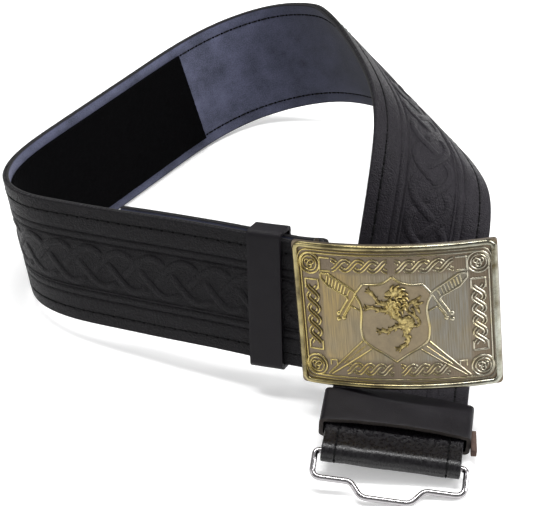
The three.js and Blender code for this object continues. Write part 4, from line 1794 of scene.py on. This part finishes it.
shield_ground = bmesh.new()
shield_up = [up for _, up in shield_half[::-1]]
shield_out = [out for out, _ in shield_half[::-1]]
bmesh.ops.create_grid(shield_ground, x_segments=ground_columns, y_segments=ground_rows, size=1)
for vert in shield_ground.verts:
    up = shield_up[0] + (vert.co.y + 1) / 2 * (shield_up[-1] - shield_up[0])
    half_wide = max(ground_inset / 2, np.interp(up, shield_up, shield_out) - ground_inset)
    vert.co = (vert.co.x * half_wide, up, ground_height)
ground_walls = bmesh.ops.extrude_face_region(shield_ground, geom=shield_ground.faces[:])
for element in ground_walls["geom"]:
    if isinstance(element, bmesh.types.BMVert):
        element.co.z = ground_foot
finished_piece("buckle_shield_ground", shield_ground, on_buckle, [patina], "buckle")


# Lion
# A lion standing up on one hind leg, the old heraldic beast, cast with the plate as rounded muscles with a
# curled mane and a tufted tail, and rubbed to yellow brass.

# each stroke: places across and up, with half widths; then its height
lion_strokes = (
    ([(0.6, 8.0, 2.4), (-0.8, 5.4, 2.9), (0.2, 2.0, 2.1), (2.4, -0.2, 1.5), (4.2, -1.4, 2.2)], 0.85),
    ([(3.6, 0.0, 1.8), (5.8, -1.4, 2.7), (5.0, -4.4, 2.0)], 0.85),
    ([(3.6, 10.8, 1.8), (1.4, 11.6, 2.3), (-1.2, 11.2, 1.5), (-3.0, 10.7, 0.8)], 0.95),
    ([(-1.4, 9.8, 0.6), (-2.7, 9.3, 0.5), (-3.4, 9.8, 0.3)], 0.8),
    ([(-1.6, 6.8, 1.6), (-4.6, 6.6, 1.1), (-6.6, 7.8, 0.8), (-7.9, 10.0, 0.75), (-9.3, 11.6, 1.2)], 0.8),
    ([(-1.8, 4.2, 1.6), (-4.4, 3.8, 1.2), (-7.2, 4.4, 0.9), (-9.2, 4.9, 0.8), (-10.8, 4.7, 1.2)], 0.8),
    ([(4.4, -2.6, 1.9), (1.4, -3.2, 1.3), (-1.0, -4.2, 0.95), (-3.2, -5.5, 0.85), (-5.6, -5.0, 1.3)], 0.8),
    ([(5.2, -3.4, 1.8), (4.4, -6.6, 1.2), (5.5, -8.9, 0.9), (4.2, -11.0, 0.8), (2.0, -12.6, 1.2)], 0.8),
    ([(6.4, -1.6, 0.9), (8.8, -3.2, 0.8), (10.2, -1.6, 0.8), (8.6, 1.2, 0.75), (5.8, 3.0, 0.7)], 0.7),
    ([(5.8, 3.0, 0.7), (5.6, 5.2, 0.7), (7.4, 7.2, 0.8), (9.4, 8.0, 1.0), (11.4, 9.8, 0.35)], 0.7),
    ([(8.0, 7.2, 0.9), (10.0, 6.6, 0.9), (12.4, 7.0, 0.3)], 0.7),
    ([(8.4, 6.4, 0.9), (9.8, 4.6, 0.8), (10.6, 2.2, 0.3)], 0.7),
    ([(7.4, 5.0, 0.8), (8.3, 3.0, 0.6), (8.6, 1.6, 0.25)], 0.7),
)
# each paw: where its claws start, and which way they point, in degrees
claw_roots = (
    ((-9.4, 11.8), (100, 140, 180)),
    ((-10.8, 4.6), (130, 170, 215)),
    ((-5.8, -5.2), (150, 195, 240)),
    ((1.6, -12.8), (170, 215, 260)),
)
claw_length = 2.2
# half widths of a claw at its root, middle and tip, and its height
claw_halves, claw_top = (0.65, 0.55, 0.15), 0.75
claw_bend = 0.3
# each curl of the mane: its place, and which way it points, in degrees
mane_curls = (
    ((0.2, 13.6), 75),
    ((2.2, 13.7), 55),
    ((3.9, 12.6), 30),
    ((4.9, 10.9), 5),
    ((5.2, 9.0), -15),
    ((4.9, 7.0), -30),
    ((4.2, 5.2), -45),
    ((2.4, 10.2), -10),
    ((2.6, 8.2), -25),
    ((1.2, 8.6), -60),
    ((2.2, 6.2), -40),
    ((0.4, 6.4), -80),
    ((-1.4, 7.9), -110),
    ((-2.7, 6.2), -130),
    ((1.2, 4.2), -60),
    ((-0.8, 4.4), -95),
    ((3.0, 3.4), -50),
    ((1.4, 2.2), -75),
)
curl_length, curl_half, curl_top = 2.7, 0.58, 1.2
# a second, smaller curl lies over each
upper_curl_share, upper_curl_half, upper_curl_top = 0.8, 0.42, 1.35
upper_curl_turn, upper_curl_scatter = 35, 1.4
upper_curl_shift = Vector((-0.5, -0.8))
# short locks along both sides of the body and limbs
shaggy_half_width = 1.2
shag_pitch, shag_turn, shag_length, shag_half, shag_rise = 4, 40, 1.9, 0.38, 0.2


def add_tuft(shape, root, angle, length, half, top):
    """A short pointed lock of hair with a slight curl."""
    way = Vector((math.cos(math.radians(angle)), math.sin(math.radians(angle))))
    aside = Vector((-way.y, way.x))
    start = Vector(root) - way * length * 0.45
    middle = Vector(root) + aside * length * 0.2
    tip = Vector(root) + way * length * 0.55 - aside * length * 0.1
    lock = smooth_line([(*start, half), (*middle, 1.15 * half), (*tip, 0.25 * half)])
    halves = [point[2] for point in lock]
    add_strand(shape, [point[:2] for point in lock], halves, line_low, top, arc=6)


lion = bmesh.new()
for points, top in lion_strokes:
    spine = smooth_line(points)
    halves = [point[2] for point in spine]
    add_strand(lion, [point[:2] for point in spine], halves, line_low, top, arc=8)
    if points[0][2] > shaggy_half_width:
        for step in range(shag_pitch, len(spine) - 6, shag_pitch):
            here, after = spine[step], spine[step + 1]
            ahead = math.degrees(math.atan2(after[1] - here[1], after[0] - here[0]))
            side = 1 if step % (2 * shag_pitch) else -1
            normal = Vector((-math.sin(math.radians(ahead)), math.cos(math.radians(ahead)))) * side
            root = Vector(here[:2]) + normal * here[2] * 0.75
            add_tuft(lion, root, ahead + shag_turn * side, shag_length, shag_half, top + shag_rise)
for root, angles in claw_roots:
    for angle in angles:
        way = Vector((math.cos(math.radians(angle)), math.sin(math.radians(angle))))
        tip = Vector(root) + claw_length * way
        bend = (Vector(root) + tip) / 2 + claw_bend * Vector((-way.y, way.x))
        claw = smooth_line([(*place, half) for place, half in zip((root, bend, tip), claw_halves)])
        halves = [point[2] for point in claw]
        add_strand(lion, [point[:2] for point in claw], halves, line_low, claw_top, arc=4)
for index, (root, angle) in enumerate(mane_curls):
    add_tuft(lion, root, angle, curl_length, curl_half, curl_top)
    off = Vector((noise.noise(Vector((index, 0.3, 0.0))), noise.noise(Vector((index, 7.7, 2.0)))))
    upper_root = Vector(root) + upper_curl_scatter * off + upper_curl_shift
    upper_length = upper_curl_share * curl_length
    add_tuft(lion, upper_root, angle + upper_curl_turn, upper_length, upper_curl_half, upper_curl_top)

# Rubbed and patinated brass: bright on the locks' crests, with brown left between them in specks of about
# 1.4 mm.
lion_brass = new_material("speckled_rubbed_brass")
lion_flat = add_node(lion_brass, "ShaderNodeUVMap", {"uv_map": "flat"}, {})
lion_rise = add_node(lion_brass, "ShaderNodeAttribute", {"attribute_name": "rise"}, {})
lion_specks = add_node(
    lion_brass,
    "ShaderNodeTexNoise",
    {"Scale": 70.0, "Detail": 5.0, "Roughness": 0.7, "Distortion": 1.0},
    {"Vector": lion_flat.outputs[0]},
)
lion_high = add_node(
    lion_brass,
    "ShaderNodeMath",
    {"operation": "MULTIPLY_ADD", 1: 0.3},
    {0: lion_rise.outputs["Fac"], 2: lion_specks.outputs["Fac"]},
)
lion_polish = add_node(
    lion_brass, "ShaderNodeMapRange", {"From Min": 0.58, "From Max": 0.86}, {"Value": lion_high.outputs[0]}
)
lion_colour = add_node(
    lion_brass,
    "ShaderNodeMix",
    {"data_type": "RGBA", 6: linear("55482f"), 7: linear("cab77c")},
    {0: lion_polish.outputs["Result"]},
)
lion_roughness = add_node(
    lion_brass,
    "ShaderNodeMapRange",
    {"To Min": 0.5, "To Max": 0.28},
    {"Value": lion_polish.outputs["Result"]},
)
lion_bump = add_node(
    lion_brass,
    "ShaderNodeBump",
    {"Strength": 0.5, "Distance": 0.0003},
    {"Height": lion_specks.outputs["Fac"]},
)
finish_material(
    lion_brass,
    add_node(
        lion_brass,
        "ShaderNodeBsdfPrincipled",
        {"Metallic": 1.0},
        {
            "Base Color": lion_colour.outputs[2],
            "Roughness": lion_roughness.outputs["Result"],
            "Normal": lion_bump.outputs["Normal"],
        },
    ),
)
finished_piece("buckle_lion", lion, on_buckle, [lion_brass], "buckle")


# Buckle bar and catch
# A brass rod bent into a staple and soldered behind one edge, which the strap folds round, and a flat hook
# soldered behind the other edge, which takes the wire loop. Neither is polished.
post_radius, post_gap = 1.0, 0.1
bar_end = strap_width / 2 + post_gap + post_radius
# how far inside the strap's edge the bar becomes as thin as its posts
thin_bar_inset = 1.5
staple_corner = 2.4
solder_half_sizes, solder_sink = (1.9, 1.4, 1.0), 0.4
catch_edge_round = 0.35
catch_width, catch_reach, catch_depth, catch_thickness, catch_inset = 14.0, 10.0, 5.0, 2.0, 12.0


def add_tube(shape, line, normal, radius, sides, closed=False):
    """A round wire along a line that lies in one plane: a grid wrapped round the line."""
    line = np.array(line, dtype=float)
    if closed:
        ahead = np.roll(line, -1, axis=0) - np.roll(line, 1, axis=0)
        line = np.vstack([line, line[:1]])
        ahead = np.vstack([ahead, ahead[:1]])
    else:
        ahead = np.gradient(line, axis=0)
    aside = np.cross(ahead, np.array(normal))
    aside /= np.linalg.norm(aside, axis=1, keepdims=True)
    made = bmesh.ops.create_grid(shape, x_segments=sides, y_segments=len(line) - 1, size=1)
    for vert in made["verts"]:
        row = round((vert.co.y + 1) / 2 * (len(line) - 1))
        turn = 2 * math.pi * (round((vert.co.x + 1) / 2 * sides) % sides) / sides
        away = math.cos(turn) * aside[row] + math.sin(turn) * np.array(normal)
        point = line[row] + np.broadcast_to(radius, len(line))[row] * away
        vert.co = Vector(point)


def rounded_line(corners, closed=False, pieces=6):
    """A line through corners, each rounded by the given length."""
    line = []
    count = len(corners)
    for index, (corner, length) in enumerate(corners):
        corner = Vector(corner)
        if not closed and index in (0, count - 1):
            line.append(corner)
            continue
        before = Vector(corners[index - 1][0])
        after = Vector(corners[(index + 1) % count][0])
        start = corner.lerp(before, length / (corner - before).length)
        end = corner.lerp(after, length / (corner - after).length)
        line += [quadratic(start, corner, end, piece / pieces) for piece in range(pieces + 1)]
    return line


bar = bmesh.new()
plate_back = math.sqrt(plate_radius**2 - bar_x**2) - plate_radius - plate_thickness / 2
staple = (
    ((bar_x, -bar_end, plate_back), 0),
    ((bar_x, -bar_end, -bar_depth), staple_corner),
    ((bar_x, bar_end, -bar_depth), staple_corner),
    ((bar_x, bar_end, plate_back), 0),
)
bar_line = rounded_line(staple)
thick_half = strap_width / 2 - thin_bar_inset
bar_radii = [bar_radius if abs(point.y) < thick_half else post_radius for point in bar_line]
add_tube(bar, bar_line, (1, 0, 0), bar_radii, 20)
for side in (-1, 1):
    solder = Matrix.Translation((bar_x, side * bar_end, plate_back - solder_sink))
    solder = solder @ Matrix.Diagonal((*solder_half_sizes, 1.0))
    bmesh.ops.create_uvsphere(bar, u_segments=20, v_segments=12, radius=1.0, matrix=solder)

catch_x = plate_width / 2 - catch_inset
catch_top = math.sqrt(plate_radius**2 - catch_x**2) - plate_radius - plate_thickness / 2
catch_low = catch_top - catch_depth - catch_thickness
catch = bmesh.new()
foot = Matrix.Translation((catch_x, 0, (catch_top + catch_low) / 2))
foot = foot @ Matrix.Diagonal((catch_thickness, catch_width, catch_top - catch_low, 1.0))
bmesh.ops.create_cube(catch, size=1.0, matrix=foot)
bmesh.ops.bisect_plane(
    catch,
    geom=catch.verts[:] + catch.edges[:] + catch.faces[:],
    plane_co=(0, 0, catch_low + catch_thickness),
    plane_no=(0, 0, 1),
)
lip_faces = [
    face
    for face in catch.faces
    if face.normal.x < -0.9 and face.calc_center_median().z < catch_low + catch_thickness
]
drawn = bmesh.ops.extrude_face_region(catch, geom=lip_faces)
for element in drawn["geom"]:
    if isinstance(element, bmesh.types.BMVert):
        element.co.x -= catch_reach - catch_thickness
bmesh.ops.delete(catch, geom=lip_faces, context="FACES_ONLY")
bmesh.ops.bevel(
    catch,
    geom=catch.edges[:],
    offset=catch_edge_round,
    affect="EDGES",
    segments=3,
    profile=0.5,
    material=-1,
    clamp_overlap=True,
)
add_shape(bar, catch)

# Cast brass left as it came from the mould and browned: dull, speckled and a little rough.
raw_brass = new_material("browned_brass_casting")
raw_place = add_node(raw_brass, "ShaderNodeTexCoord", {}, {})
raw_specks = add_node(
    raw_brass,
    "ShaderNodeTexNoise",
    {"Scale": 600.0, "Detail": 7.0},
    {"Vector": raw_place.outputs["Object"]},
)
raw_colour = add_node(
    raw_brass,
    "ShaderNodeMix",
    {"data_type": "RGBA", 6: linear("2e2a24"), 7: linear("5a503c")},
    {0: raw_specks.outputs["Fac"]},
)
raw_bump = add_node(
    raw_brass,
    "ShaderNodeBump",
    {"Strength": 0.4, "Distance": 0.0003},
    {"Height": raw_specks.outputs["Fac"]},
)
finish_material(
    raw_brass,
    add_node(
        raw_brass,
        "ShaderNodeBsdfPrincipled",
        {"Metallic": 1.0, "Roughness": 0.45},
        {"Base Color": raw_colour.outputs[2], "Normal": raw_bump.outputs["Normal"]},
    ),
)
finished_piece("buckle_bar_and_catch", bar, on_buckle_back, [raw_brass], "buckle")


# Wire loop
# Hard steel wire of 2.5 mm, bent to a frame whose middle steps out for the buckle's hook, butted under the
# leather fold and bright nickel plated. It hangs from the fold until its front meets the floor.
loop_inside, loop_reach, loop_step = 59.5, 12.0, 6.2
step_width, step_slant = 20.0, 5.0
loop_corner, fold_corner = 4.0, 2.4
step_foot_corner, step_head_corner = 2.0, 2.5

loop_side = loop_inside / 2 + wire_radius
step_half = step_width / 2
loop_corners = (
    ((-loop_side, 0, 0), fold_corner),
    ((loop_side, 0, 0), fold_corner),
    ((loop_side, loop_reach, 0), loop_corner),
    ((step_half + step_slant, loop_reach, 0), step_foot_corner),
    ((step_half, loop_reach + loop_step, 0), step_head_corner),
    ((-step_half, loop_reach + loop_step, 0), step_head_corner),
    ((-step_half - step_slant, loop_reach, 0), step_foot_corner),
    ((-loop_side, loop_reach, 0), loop_corner),
)
loop_line = rounded_line(loop_corners, closed=True, pieces=8)

wire_middle, _, wire_across, wire_out = strap_frame(waist_length)
wire_middle = wire_middle - wire_fold_radius * wire_out
wire_level = Vector((0, 0, 1)).cross(wire_across).normalized()
wire_up = wire_across.cross(wire_level)
loop_floor = -belt_shift[2]
drops = [
    (wire_middle.z + point.x * wire_across.z - wire_radius - loop_floor) / (point.y * wire_up.z)
    for point in loop_line
    if point.y > loop_reach / 2
]
loop_forward = Matrix.Rotation(-math.asin(min(drops)), 3, wire_across) @ wire_level
loop_normal = wire_across.cross(loop_forward)


def on_loop(points):
    """The wire's flat place, hung in the fold."""
    across, forward, out = points.T
    laid = np.array(wire_middle) + across[:, None] * np.array(wire_across)
    laid = laid + forward[:, None] * np.array(loop_forward) + out[:, None] * np.array(loop_normal)
    return (laid + belt_shift) / 1000


# Bright nickel plate: a cool mirror with faint drawing marks along the wire and a few duller spots.
nickel = new_material("bright_nickel_plated_wire")
nickel_place = add_node(nickel, "ShaderNodeTexCoord", {}, {})
nickel_spots = add_node(
    nickel,
    "ShaderNodeTexNoise",
    {"Scale": 500.0, "Detail": 4.0},
    {"Vector": nickel_place.outputs["Object"]},
)
nickel_roughness = add_node(
    nickel,
    "ShaderNodeMapRange",
    {"From Min": 0.4, "From Max": 0.75, "To Min": 0.1, "To Max": 0.28},
    {"Value": nickel_spots.outputs["Fac"]},
)
nickel_bump = add_node(
    nickel,
    "ShaderNodeBump",
    {"Strength": 0.06, "Distance": 0.0002},
    {"Height": nickel_spots.outputs["Fac"]},
)
finish_material(
    nickel,
    add_node(
        nickel,
        "ShaderNodeBsdfPrincipled",
        {"Base Color": linear("a9a6a8"), "Metallic": 1.0},
        {"Roughness": nickel_roughness.outputs["Result"], "Normal": nickel_bump.outputs["Normal"]},
    ),
)

loop_wire = bmesh.new()
add_tube(loop_wire, loop_line, (0, 0, 1), wire_radius, 18, closed=True)
wire_loop = finished_piece("hook_loop_wire", loop_wire, on_loop, [nickel], "wire_loop")
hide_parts("wire_loop")
